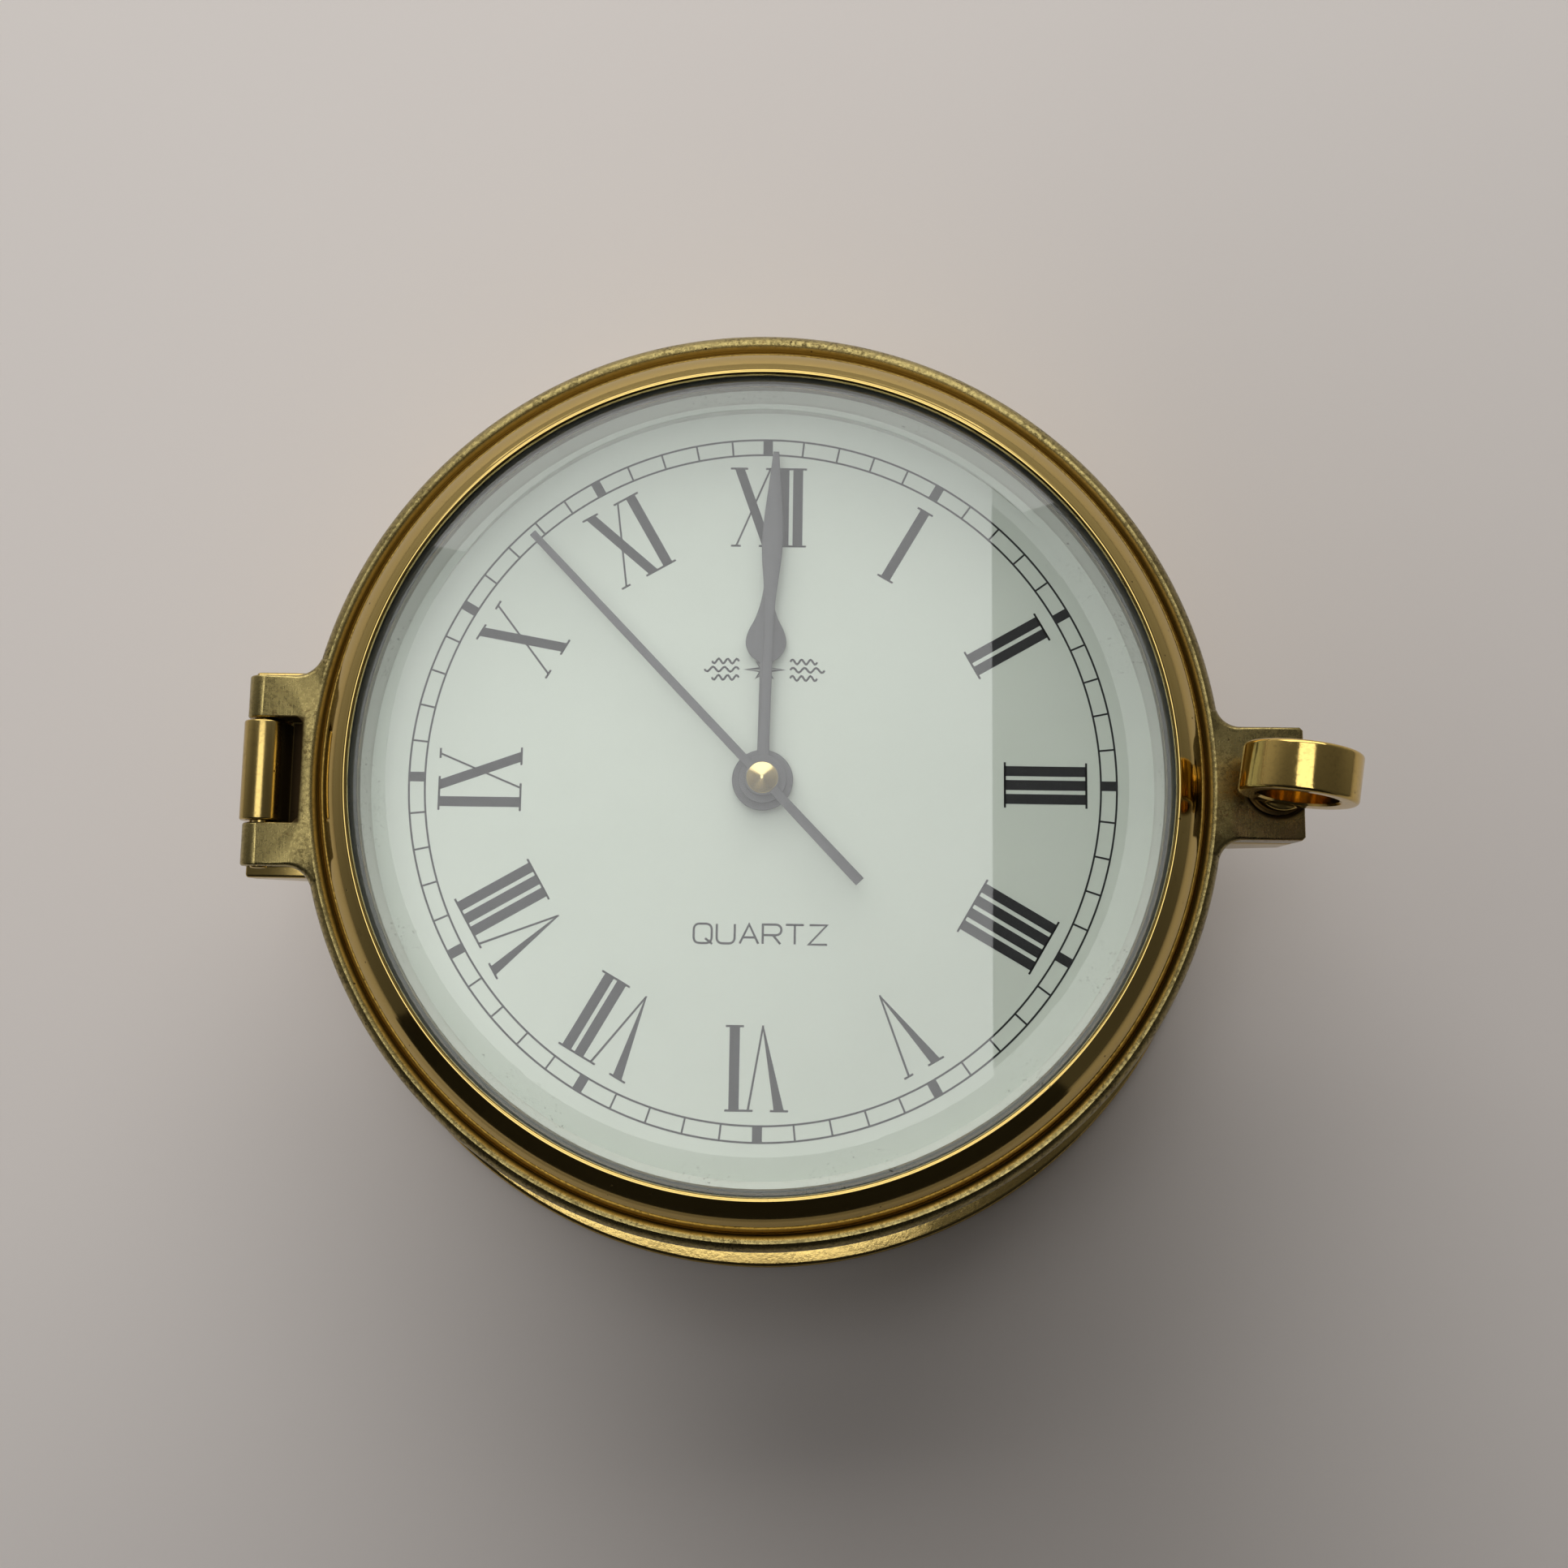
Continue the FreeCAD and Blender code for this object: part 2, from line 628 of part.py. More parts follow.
def movement_housing():
    """Moulded tray, open at the back, with a wall between battery and train."""
    body = new_body("MovementHousing")
    half, wall = cell("housing_half"), cell("housing_wall")
    top, bottom = cell("housing_top"), cell("housing_bottom")
    pad(body, rectangle(-half, half, -half, half), bottom, top - bottom)
    inner = half - wall
    depth = top - bottom - wall
    for low, high in ((-inner, size(-11.6)), (size(-10.4), inner)):
        sketch = new_sketch(body, "XY_Plane", bottom)
        draw_outline(sketch, rectangle(-inner, inner, low, high))
        hollow = add_feature(body, "Pocket", sketch, Length=depth)
        hollow.Reversed = True
    cut_round(body, [(0, 0, cell("bushing_radius"))], top + 1, wall + 2)
    publish(body, "movement_housing")


def movement_cover():
    body = new_body("MovementCover")
    half, wall = cell("housing_half"), cell("housing_wall")
    low = cell("housing_bottom") - wall
    pad(body, rectangle(-half, half, -11, half), low, wall)
    cut_round(body, [(KNOB[0], KNOB[1], 1.35)], low + 3, 5)
    publish(body, "movement_cover")


def battery_door():
    body = new_body("BatteryDoor")
    half, wall = cell("housing_half"), cell("housing_wall")
    pad(body, rectangle(-half, half, -half, -11.2), cell("housing_bottom") - wall, wall)
    publish(body, "battery_door")


def battery():
    """Round cell lying along X, with its raised end."""
    y, z, radius = -cell("battery_offset"), cell("battery_height"), cell("battery_radius")
    publish(fuse([rod_along_x(-24.4, y, z, radius, 48.8), rod_along_x(24.4, y, z, 2.7, 1.2)]),
            "battery")
    publish(group([box(25.6, y - 4, z - 5, 0.5, 8, 10)]), "battery_contact_positive")
    spring = [rod_along_x(-26.0, y, z, 3.6, 1.6), box(-26.4, y - 4, z - 5, 0.4, 8, 10)]
    publish(fuse(spring), "battery_contact_negative")


# ---------------------------------------------------------------- going train

KNOB = (-12.0, 0.0)
THIRD = (10.43, 2.8)
INTERMEDIATE = (-5.785, 6.894)
ROTOR = (-10.285, 12.257)
MOTION = (5.25, 9.093)


def circuit_board():
    publish(group([box(12, 8, 27, 14, 17, 1)]), "circuit_board")
    publish(group([rod_along_x(14, 20, 29.4, 1.4, 6)]), "quartz_crystal")


def stepping_motor():
    """Stator with the rotor's hole, the coil's core as its fourth side, and the coil."""
    low, thick = 33.0, 1.0
    pole = box(-16, 8.2, low, 11.4, 8.8, thick)
    sides = [box(-16, 16.9, low, 4, 5.6, thick), box(10, 13, low, 4, 9.5, thick),
             box(-4.7, 13, low, 15, 4, thick), box(-16, 20.5, low, 30, 2, thick)]
    hole = rod(ROTOR[0], ROTOR[1], low - 1, 3.0, 3)
    publish(cut(fuse([pole] + sides), hole), "stator")
    winding = rod_along_x(-11, 21.5, low + 0.5, 2.9, 20)
    publish(cut(winding, box(-12, 20.5, low, 22, 2, thick)), "drive_coil")


def train_plate():
    body = new_body("TrainPlate")
    low = cell("train_plate")
    inner = cell("housing_half") - cell("housing_wall")
    pad(body, rectangle(-inner, inner, -10.4, inner), low, 0.5)
    cut_round(body, [(0, 0, 2.0)], low + 1, 2)
    for (x, y), pivot in ((THIRD, 0.55), (ROTOR, 0.45), (MOTION, 0.55), (KNOB, 0.85)):
        cut_round(body, [(x, y, pivot)], low + 1, 2)
    publish(body, "train_plate")


def toothed_disc(body, radius, bottom, thickness, teeth):
    """A disc with shallow teeth whose tips stop short of the pitch circle."""
    pad_round(body, [(0, 0, radius)], bottom, thickness)
    pitch = 2 * math.pi * radius / teeth
    half_gap = 0.27 * pitch
    sketch = new_sketch(body, "XY_Plane", size(bottom) + thickness)
    draw_outline(sketch, [(radius + 0.3, -half_gap), (radius + 0.3, half_gap),
                          (radius - 0.45 * pitch, half_gap * 0.4),
                          (radius - 0.45 * pitch, -half_gap * 0.4)])
    gap = add_feature(body, "Pocket", sketch, Length=thickness)
    polar_copies(body, gap, teeth)


def wheel(name, label, place, discs, arbor, bore=None, tube=None):
    """An arbor with its toothed discs; discs are (radius, bottom, thickness, teeth)."""
    body = new_body(name)
    for radius, bottom, thickness, teeth in discs:
        toothed_disc(body, radius, bottom, thickness, teeth)
    radius, bottom, top = arbor
    pad_round(body, [(0, 0, radius)], bottom, size(top) - bottom)
    if bore:
        cut_round(body, [(0, 0, bore)], size(top) + 1, size(top) - bottom + 2)
    publish(body, label, place[0], place[1])


def going_train():
    """Seconds side: rotor, intermediate wheel, seconds wheel, third wheel."""
    floor, ceiling = cell("train_floor"), cell("train_plate") + 0.4
    seconds_top = cell("dial_height") + 4.95
    wheel("SecondsWheel", "seconds_wheel", (0, 0), [(7.4, 30.6, 0.6, 60), (1.2, 32.4, 1.4, 8)],
          (cell("second_shaft"), floor, seconds_top))
    wheel("ThirdWheel", "third_wheel", THIRD, [(9.4, 32.6, 0.8, 60), (1.1, 33.4, 3.0, 8)],
          (0.5, floor, ceiling))
    wheel("IntermediateWheel", "intermediate_wheel", INTERMEDIATE,
          [(1.4, 30.2, 1.4, 12), (5.9, 31.6, 0.6, 60)], (0.5, floor, 35.0))
    rotor = new_body("Rotor")
    toothed_disc(rotor, 0.9, 31.4, 1.0, 10)
    pad_round(rotor, [(0, 0, 2.6)], 33.0, 3.4)
    pad_round(rotor, [(0, 0, 0.4)], floor, ceiling - floor)
    publish(rotor, "rotor", ROTOR[0], ROTOR[1])


def motion_work():
    """Hands side: centre wheel and tube, motion work, hour wheel and tube, setting knob."""
    gap = cell("running_gap")
    wheel("CentreWheel", "centre_wheel", (0, 0), [(9.5, 35.4, 0.8, 64), (2.5, 37.5, 1.3, 12)],
          (cell("minute_tube"), 35.4, cell("dial_height") + 3.5), cell("second_shaft") + gap)
    wheel("MotionWheel", "motion_work_wheel", MOTION, [(7.75, 37.6, 0.8, 36), (2.0, 38.4, 2.0, 10)],
          (0.5, cell("train_plate") + 0.1, 40.9))
    wheel("HourWheel", "hour_wheel", (0, 0), [(8.3, 39.3, 1.0, 40)],
          (cell("hour_tube"), 39.3, cell("dial_height") + 2.1), cell("minute_tube") + gap)
    knob = new_body("SettingKnob")
    toothed_disc(knob, 2.3, 35.4, 0.8, 16)
    pad_round(knob, [(0, 0, 1.3)], 22.4, 13.0)
    pad_round(knob, [(0, 0, 0.8)], 36.1, 1.0)
    toothed_disc(knob, 6.0, 17.9, 4.5, 24)
    publish(knob, "setting_knob", KNOB[0], KNOB[1])


# ---------------------------------------------------------------- assembly

for build in (case_shell, back_plate, back_plate_screws, case_seal, hinge_bracket, hinge_pin,
              clasp_bracket, bezel_ring, clock_glass, glass_gasket, glass_retaining_ring,
              thumbscrew_washer, ring_thumbscrew, dial, rehaut, hands, dial_feet, carrier_plate,
              carrier_screws, centre_bushing, fixing_nut, movement_cushion, movement_housing,
              movement_cover, battery_door, battery, circuit_board, stepping_motor, train_plate,
              going_train, motion_work):
    build()
doc.recompute()

failed = [item.Label for item in doc.Objects if {"Invalid", "Error"} & set(item.State)]
if failed:
    raise RuntimeError(f"failed to recompute: {failed}")

hollow = [item.Label for item in parts
          if item.Shape.isNull() or not item.Shape.isValid() or not item.Shape.Solids]
if hollow:
    raise RuntimeError(f"no valid solid: {hollow}")

os.makedirs("parts", exist_ok=True)
for item in parts:
    shape = item.Shape
    shape.exportStep(f"parts/{item.Label}.step")
    print(f"{item.Label}: {len(shape.Solids)} solid(s), {shape.Volume:.1f} mm3")
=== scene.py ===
import math

import bmesh
import bpy
from mathutils import Matrix, Vector


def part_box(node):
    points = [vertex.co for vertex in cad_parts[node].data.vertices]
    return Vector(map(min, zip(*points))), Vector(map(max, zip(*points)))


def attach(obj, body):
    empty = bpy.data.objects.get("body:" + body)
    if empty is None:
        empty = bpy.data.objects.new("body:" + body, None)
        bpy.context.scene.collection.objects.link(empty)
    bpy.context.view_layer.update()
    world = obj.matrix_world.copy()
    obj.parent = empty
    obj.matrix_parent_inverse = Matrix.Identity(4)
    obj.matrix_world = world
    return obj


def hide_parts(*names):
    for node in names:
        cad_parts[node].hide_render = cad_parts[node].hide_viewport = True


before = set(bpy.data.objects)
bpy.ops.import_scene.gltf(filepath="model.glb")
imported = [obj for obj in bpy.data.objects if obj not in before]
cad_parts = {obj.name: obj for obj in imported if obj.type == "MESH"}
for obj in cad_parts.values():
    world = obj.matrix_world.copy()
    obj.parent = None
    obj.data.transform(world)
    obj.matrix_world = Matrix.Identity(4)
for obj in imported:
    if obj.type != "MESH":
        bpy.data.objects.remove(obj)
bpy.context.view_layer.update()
MM = 0.001

# Sizes in millimetres. Heights are above the back of the case, +Z is out through the glass.
# The hinge lies towards -X, the clasp towards +X and the numeral XII towards +Y.
PIN_X = 76.0  # hinge pin, from the clock's axis
PIN_Z = 53.65
PIN_BORE = 1.3
LUG_LOW = 51.0  # underside of the bezel and its lugs
LUG_TOP = 56.3
BEAD_RADIUS = 70.0
BEAD_CREST = 68.4
GROOVE_RADIUS = 67.35
HINGE_HALF = 14.5  # half the width of both hinge lugs
WINDOW_HALF = 8.0  # half the window between them
CLASP_X = 77.6
CLASP_END = 81.6
CLASP_HALF = 8.6
SEAT_TOP = 50.4  # top of both brackets
RING_TURN = -8.6  # degrees that the finger ring stands turned
DIAL_TOP = 48.0
INK_LOW = 47.99
INK_HIGH = 48.03
HAND_THICK = 0.3
SAME_POINT = 1e-7  # metres


# ---- shader wiring

class Wire:
    """One value inside a finish. Arithmetic on it adds Math nodes."""

    def __init__(self, finish, socket):
        self.finish = finish
        self.socket = socket

    def maths(self, operation, *others):
        values = dict(enumerate((self,) + others))
        return self.finish.node("Math", {"operation": operation}, values)

    def __add__(self, other):
        return self.maths("ADD", other)

    __radd__ = __add__

    def __mul__(self, other):
        return self.maths("MULTIPLY", other)

    __rmul__ = __mul__

    def __sub__(self, other):
        return self.maths("SUBTRACT", other)

    def __rsub__(self, other):
        return self.finish.node("Math", {"operation": "SUBTRACT"}, {0: other, 1: self})

    def __pow__(self, other):
        return self.maths("POWER", other)

    def size(self):
        return self.maths("ABSOLUTE")

    def between(self, low, high):
        """0 at low and 1 at high, eased. low may be the larger one."""
        settings = {"interpolation_type": "SMOOTHSTEP", "clamp": True}
        values = {"Value": self, "From Min": low, "From Max": high}
        return self.finish.node("MapRange", settings, values)


class Finish:
    """A procedural material that reads Object coordinates, or the room round the table."""

    def __init__(self, name, made_in=None, reads="Object"):
        self.material = (bpy.data.materials if made_in is None else made_in).new(name)
        self.material.use_nodes = True
        self.tree = self.material.node_tree
        self.tree.nodes.clear()
        self.place = self.node("TexCoord", output=reads)

    def node(self, kind, settings=None, values=None, output=0):
        """Adds a node: its settings first, then the values or links of its sockets."""
        made = self.tree.nodes.new("ShaderNode" + kind)
        for name, value in (settings or {}).items():
            setattr(made, name, value)
        for name, value in (values or {}).items():
            if isinstance(value, Wire):
                self.tree.links.new(value.socket, made.inputs[name])
            else:
                made.inputs[name].default_value = value
        return Wire(self, made.outputs[output])

    def axes(self):
        """The x, y and z of the place, in metres."""
        split = self.node("SeparateXYZ", None, {0: self.place})
        outputs = split.socket.node.outputs
        return [Wire(self, outputs[index]) for index in range(3)]

    def radius(self, x, y, centre_x=0.0):
        """Distance from an upright axis."""
        return ((x - centre_x) ** 2.0 + y * y) ** 0.5

    def stretched(self, along):
        """The place, with each axis scaled, so that a grain runs along the smallest."""
        return self.node("VectorMath", {"operation": "MULTIPLY"}, {0: self.place, 1: along})

    def grain(self, millimetres, detail=4.0, rough=0.55, place=None, warp=0.0):
        """Noise whose features are about this many millimetres across."""
        values = {
            "Vector": place or self.place,
            "Scale": 1.0 / (millimetres * MM),
            "Detail": detail,
            "Roughness": rough,
            "Distortion": warp,
        }
        return self.node("TexNoise", {"noise_dimensions": "3D"}, values)

    def spots(self, spacing, radius):
        """1 inside scattered round spots, 0 outside. Both in millimetres."""
        values = {"Vector": self.place, "Scale": 1.0 / (spacing * MM), "Randomness": 1.0}
        reach = self.node("TexVoronoi", {"feature": "F1"}, values)
        return reach.between(radius / spacing, 0.5 * radius / spacing)

    def tint(self, amount, first, second):
        """first where amount is 0, second where it is 1."""
        values = {0: amount, 6: self.paint(first), 7: self.paint(second)}
        return self.node("Mix", {"data_type": "RGBA"}, values, output=2)

    def paint(self, colour):
        return colour if isinstance(colour, Wire) else (*colour, 1.0)

    def bump(self, height, millimetres):
        values = {"Strength": 1.0, "Distance": millimetres * MM, "Height": height}
        return self.node("Bump", None, values)

    def surface(self, colour, roughness, normal=None, **constants):
        """Ends the finish in a Principled shader. Constants sit on its own sockets."""
        values = {"Base Color": colour, "Roughness": roughness}
        if normal is not None:
            values["Normal"] = normal
        values.update({name.replace("_", " "): value for name, value in constants.items()})
        shader = self.node("BsdfPrincipled", None, values)
        end = self.tree.nodes.new("ShaderNodeOutputMaterial")
        self.tree.links.new(shader.socket, end.inputs["Surface"])
        return self.material


# ---- finishes

GOLD = (0.53, 0.385, 0.13)
OLIVE = (0.39, 0.32, 0.13)
DULL_BRASS = (0.20, 0.15, 0.055)
# colour of the painted shade on the bead's +X side
PAINTED_SHADE_BRASS = (0.12, 0.09, 0.035)
WORN_BRASS = (0.10, 0.075, 0.028)
RED_BRASS = (0.42, 0.22, 0.10)
BROWN = (0.13, 0.065, 0.022)
# real grime for the specks, and painted shade for the groove and the recesses of the bezel
GRIME_AND_SHADE = (0.050, 0.030, 0.012)
# colour of the painted shade on the bracket's shelf deep in the hinge window
PAINTED_SHELF_SHADE = (0.035, 0.022, 0.010)


def in_window(x, y, middle, half):
    """1 in the window between the hinge lugs, 0 outside it. It runs a half each way from its middle."""
    deep = (x + middle * MM).size().between((half + 0.4) * MM, (half - 0.4) * MM)
    return deep * y.size().between((WINDOW_HALF + 0.4) * MM, (WINDOW_HALF - 0.2) * MM)


def bezel_brass():
    """Polished dome, groove darkened with painted shade, pitted bead and brushed lugs, by distance from the
    axis.
    """
    f = Finish("bezel_brass")
    x, y, _ = f.axes()
    radius = f.radius(x, y)
    bead = radius.between(67.2 * MM, 68.2 * MM)
    lug = radius.between(70.3 * MM, 72.0 * MM)
    groove = (radius - GROOVE_RADIUS * MM).size().between(0.60 * MM, 0.1 * MM)
    cloud = f.grain(7.0, 3.0)
    mottle = f.grain(0.55, 6.0, 0.7)
    pits = f.grain(0.16, 3.0, 0.6)
    brush = f.grain(1.0, 4.0, 0.6, f.stretched((6.0, 0.35, 2.0)))
    worn = mottle.between(0.44, 0.60) * (0.4 + 0.6 * cloud.between(0.35, 0.65))
    stain = f.grain(2.2, 5.0, 0.65, None, 1.2).between(0.60, 0.70)
    specks = f.spots(3.4, 0.22) * (0.7 + 0.3 * bead)
    # painted shade: the bead is darker towards +X, the side away from the bright part of the room
    painted_east_shade = x.between(35.0 * MM, 72.0 * MM) * bead
    # painted shade in the clasp screw's sink and on the inner wall of the hinge window
    recess_painted_shade = f.radius(x, y, CLASP_X * MM).between(5.9 * MM, 5.2 * MM) + in_window(x, y, 71.2, 1.9)
    red = f.grain(9.0, 2.0).between(0.45, 0.62) * lug * x.between(0.0, 0.01)
    base = f.tint(bead * 0.85, GOLD, OLIVE)
    base = f.tint(painted_east_shade * 0.45, base, PAINTED_SHADE_BRASS)
    base = f.tint(red * 0.4, base, RED_BRASS)
    base = f.tint(worn * bead * (0.88 - 0.50 * lug), base, WORN_BRASS)
    base = f.tint(stain * (0.12 + 0.45 * bead), base, BROWN)
    # real specks of grime, plus painted shade in the groove and in the recesses
    darkening = (specks + groove * 0.65 + recess_painted_shade).maths("MINIMUM", 0.94)
    base = f.tint(darkening, base, GRIME_AND_SHADE)
    dull = 0.25 + 0.20 * mottle.between(0.35, 0.75) - 0.05 * lug
    rough = 0.07 + 0.04 * cloud + bead * (dull - 0.08) + groove * 0.25 + specks * 0.3 + recess_painted_shade * 0.3
    height = pits * bead * (0.5 - 0.4 * lug) + mottle * bead * (0.6 - 0.45 * lug) + brush * lug * 0.35
    height = height - specks * 0.6
    return f.surface(base, rough, f.bump(height, 0.035), Metallic=1.0)


def brass(name, gold=GOLD, shine=0.1, wear=0.3, brush=(1.0, 1.0, 1.0), depth=0.02, speck=0.3):
    """Plain brass: shine is its roughness where clean, wear how much of it has dulled.

    The bracket's shelf behind the hinge window is darkened with painted shade.
    """
    f = Finish(name)
    x, y, z = f.axes()
    # painted shade: the bracket's shelf in the hinge window is darkened
    shelf = in_window(x, y, 71.0, 2.0) * z.between(49.5 * MM, 50.0 * MM)
    cloud = f.grain(6.0, 3.0)
    mottle = f.grain(0.6, 6.0, 0.7)
    marks = f.grain(1.2, 4.0, 0.65, f.stretched(brush))
    stain = f.grain(2.4, 5.0, 0.65, None, 1.0).between(0.58, 0.70)
    specks = f.spots(3.0, 0.22) * speck * 2.5
    dulled = mottle.between(0.48, 0.68) * (0.4 + 0.6 * cloud.between(0.35, 0.65)) * wear
    base = f.tint(dulled, gold, DULL_BRASS)
    base = f.tint(stain * wear * 0.7, base, BROWN)
    base = f.tint(specks.maths("MINIMUM", 0.9), base, BROWN)
    base = f.tint(shelf, base, PAINTED_SHELF_SHADE)
    rough = shine + 0.06 * cloud + dulled * 0.35 + specks * 0.2 + shelf * 0.4
    dents = f.grain(14.0, 1.0)
    height = marks * (0.35 + wear) + mottle * wear * 0.8 - specks + dents * 5.0
    return f.surface(base, rough, f.bump(height, depth), Metallic=1.0)


def turned_brass(name, gold, shine=0.16):
    """Brass with the fine circles that a lathe leaves about the clock's axis."""
    f = Finish(name)
    x, y, z = f.axes()
    radius = f.radius(x, y)
    lines_per_metre = 9000.0
    across = f.node("CombineXYZ", None, {0: radius * lines_per_metre, 1: z * lines_per_metre})
    values = {"Vector": across, "Scale": 1.0, "Detail": 2.0}
    circles = f.node("TexNoise", {"noise_dimensions": "2D"}, values)
    cloud = f.grain(3.0, 4.0)
    base = f.tint(cloud.between(0.45, 0.7) * 0.3, gold, (0.30, 0.2, 0.08))
    rough = shine + 0.12 * circles
    return f.surface(base, rough, f.bump(circles, 0.006), Metallic=1.0)


def rolled_metal(name, colour, shine):
    """Plated or rolled sheet, with a fine grain along X."""
    f = Finish(name)
    grain = f.grain(0.8, 4.0, 0.6, f.stretched((0.15, 3.0, 3.0)))
    cloud = f.grain(5.0, 3.0)
    dark = tuple(c * 0.72 for c in colour)
    base = f.tint(grain.between(0.3, 0.7) * 0.5 + cloud * 0.2, colour, dark)
    return f.surface(base, shine + 0.15 * grain, f.bump(grain, 0.01), Metallic=1.0)


def moulded(name, colour, shine, speckle, depth):
    """Moulded plastic, rubber or enamel with a fine even grain."""
    f = Finish(name)
    fine = f.grain(0.25, 3.0, 0.6)
    cloud = f.grain(8.0, 4.0)
    dark = tuple(c * (1.0 - speckle) for c in colour)
    base = f.tint(fine.between(0.4, 0.75) * 0.6 + cloud.between(0.4, 0.8) * 0.4, colour, dark)
    return f.surface(base, shine + 0.12 * fine, f.bump(fine, depth))


def dial_enamel():
    """Matt pale greenish white, with faint clouding and a few specks of dust."""
    f = Finish("dial_white")
    cloud = f.grain(18.0, 3.0)
    fine = f.grain(0.2, 2.0)
    dust = f.spots(5.5, 0.13) * f.grain(12.0, 2.0).between(0.5, 0.62)
    base = f.tint(cloud.between(0.35, 0.75) * 0.45, (0.52, 0.57, 0.505), (0.49, 0.54, 0.475))
    base = f.tint(dust * 0.8, base, (0.11, 0.10, 0.08))
    return f.surface(base, 0.55 + 0.12 * fine, f.bump(fine, 0.004))


def shade_ring_white():
    """Matt white sloping ring, darker in patches towards its foot where it meets the dial, with a few
    specks of dust.
    """
    f = Finish("rehaut_white")
    z = f.axes()[2]
    # darker in patches towards the foot, where the ring meets the dial
    foot = z.between(49.2 * MM, DIAL_TOP * MM)
    cloud = f.grain(6.0, 4.0)
    fine = f.grain(0.3, 3.0)
    base = f.tint(foot * 0.35 * cloud.between(0.3, 0.7), (0.52, 0.545, 0.49), (0.27, 0.26, 0.21))
    base = f.tint(f.spots(4.0, 0.14) * 0.6, base, (0.16, 0.13, 0.09))
    return f.surface(base, 0.5 + 0.15 * fine, f.bump(fine, 0.01))


def hand_paint():
    """Satin black paint on stamped sheet."""
    f = Finish("hand_black")
    fine = f.grain(0.22, 3.0, 0.6)
    base = f.tint(fine.between(0.45, 0.75), (0.034, 0.034, 0.038), (0.042, 0.042, 0.047))
    return f.surface(base, 0.36 + 0.12 * fine, f.bump(fine, 0.003))


def dial_ink():
    """Screen-printed black, slightly uneven."""
    f = Finish("dial_ink")
    fine = f.grain(0.3, 4.0, 0.7)
    base = f.tint(fine.between(0.4, 0.8), (0.010, 0.011, 0.012), (0.022, 0.023, 0.024))
    return f.surface(base, 0.42 + 0.2 * fine, f.bump(fine, 0.003), Specular_IOR_Level=0.15)


def clear_glass():
    """Clear plate glass. Old grime clings in specks near its edge."""
    f = Finish("glass")
    x, y, _ = f.axes()
    edge = f.radius(x, y).between(52.0 * MM, 60.5 * MM)
    patch = f.grain(14.0, 3.0).between(0.50, 0.60)
    darkening = f.grain(0.5, 5.0, 0.75).between(0.60, 0.66) * patch * (0.10 + 0.9 * edge)
    faint = f.grain(20.0, 2.0)
    base = f.tint(faint * 0.5, (0.985, 0.995, 0.985), (0.955, 0.98, 0.965))
    base = f.tint(darkening * 0.85, base, (0.10, 0.09, 0.07))
    return f.surface(base, 0.0, None, Transmission_Weight=1.0, IOR=1.5)


def circuit_green():
    """Solder mask over copper tracks."""
    f = Finish("board_green")
    cells_per_metre = 420.0
    values = {"Vector": f.place, "Scale": cells_per_metre}
    track = f.node("TexVoronoi", {"feature": "DISTANCE_TO_EDGE"}, values).between(0.10, 0.06)
    fine = f.grain(0.4, 3.0)
    base = f.tint(track * 0.7, (0.02, 0.13, 0.055), (0.07, 0.29, 0.12))
    return f.surface(base, 0.28 + 0.1 * fine, f.bump(track, 0.02), Coat_Weight=0.4)


def wound_wire():
    """Enamelled copper wire, wound side by side along X."""
    f = Finish("coil_copper")
    x = f.axes()[0]
    wire = 0.16 * MM
    turns = (x * (math.tau / wire)).maths("SINE")
    fine = f.grain(1.5, 4.0)
    lit = turns.between(-0.6, 1.0) * 0.8 + fine * 0.2
    base = f.tint(lit, (0.20, 0.055, 0.018), (0.60, 0.24, 0.085))
    return f.surface(base, 0.30 + 0.1 * fine, f.bump(turns, 0.03), Metallic=0.6)


def cell_sleeve():
    """Plain banded sleeve of a dry cell that lies along X, with bare steel at its +X end."""
    f = Finish("battery_skin")
    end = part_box("battery")[1].x
    x = f.axes()[0]
    band = x.between(end - 14 * MM, end - 13.7 * MM)
    steel = x.between(end - 1.2 * MM, end - 1.1 * MM)
    fine = f.grain(0.5, 3.0)
    base = f.tint(band, (0.035, 0.045, 0.065), (0.50, 0.27, 0.09))
    base = f.tint(steel, base, (0.62, 0.62, 0.60))
    return f.surface(base, 0.28 + 0.12 * fine, f.bump(fine, 0.005), Coat_Weight=0.5)


def table_top():
    """Plain pale table with a very faint mottle."""
    f = Finish("table_top")
    cloud = f.grain(160.0, 3.0)
    fine = f.grain(1.2, 3.0)
    mottle = cloud.between(0.3, 0.7) * 0.5 + fine * 0.15
    base = f.tint(mottle, (0.80, 0.75, 0.715), (0.78, 0.73, 0.70))
    return f.surface(base, 0.6 + 0.1 * fine, f.bump(fine, 0.01))


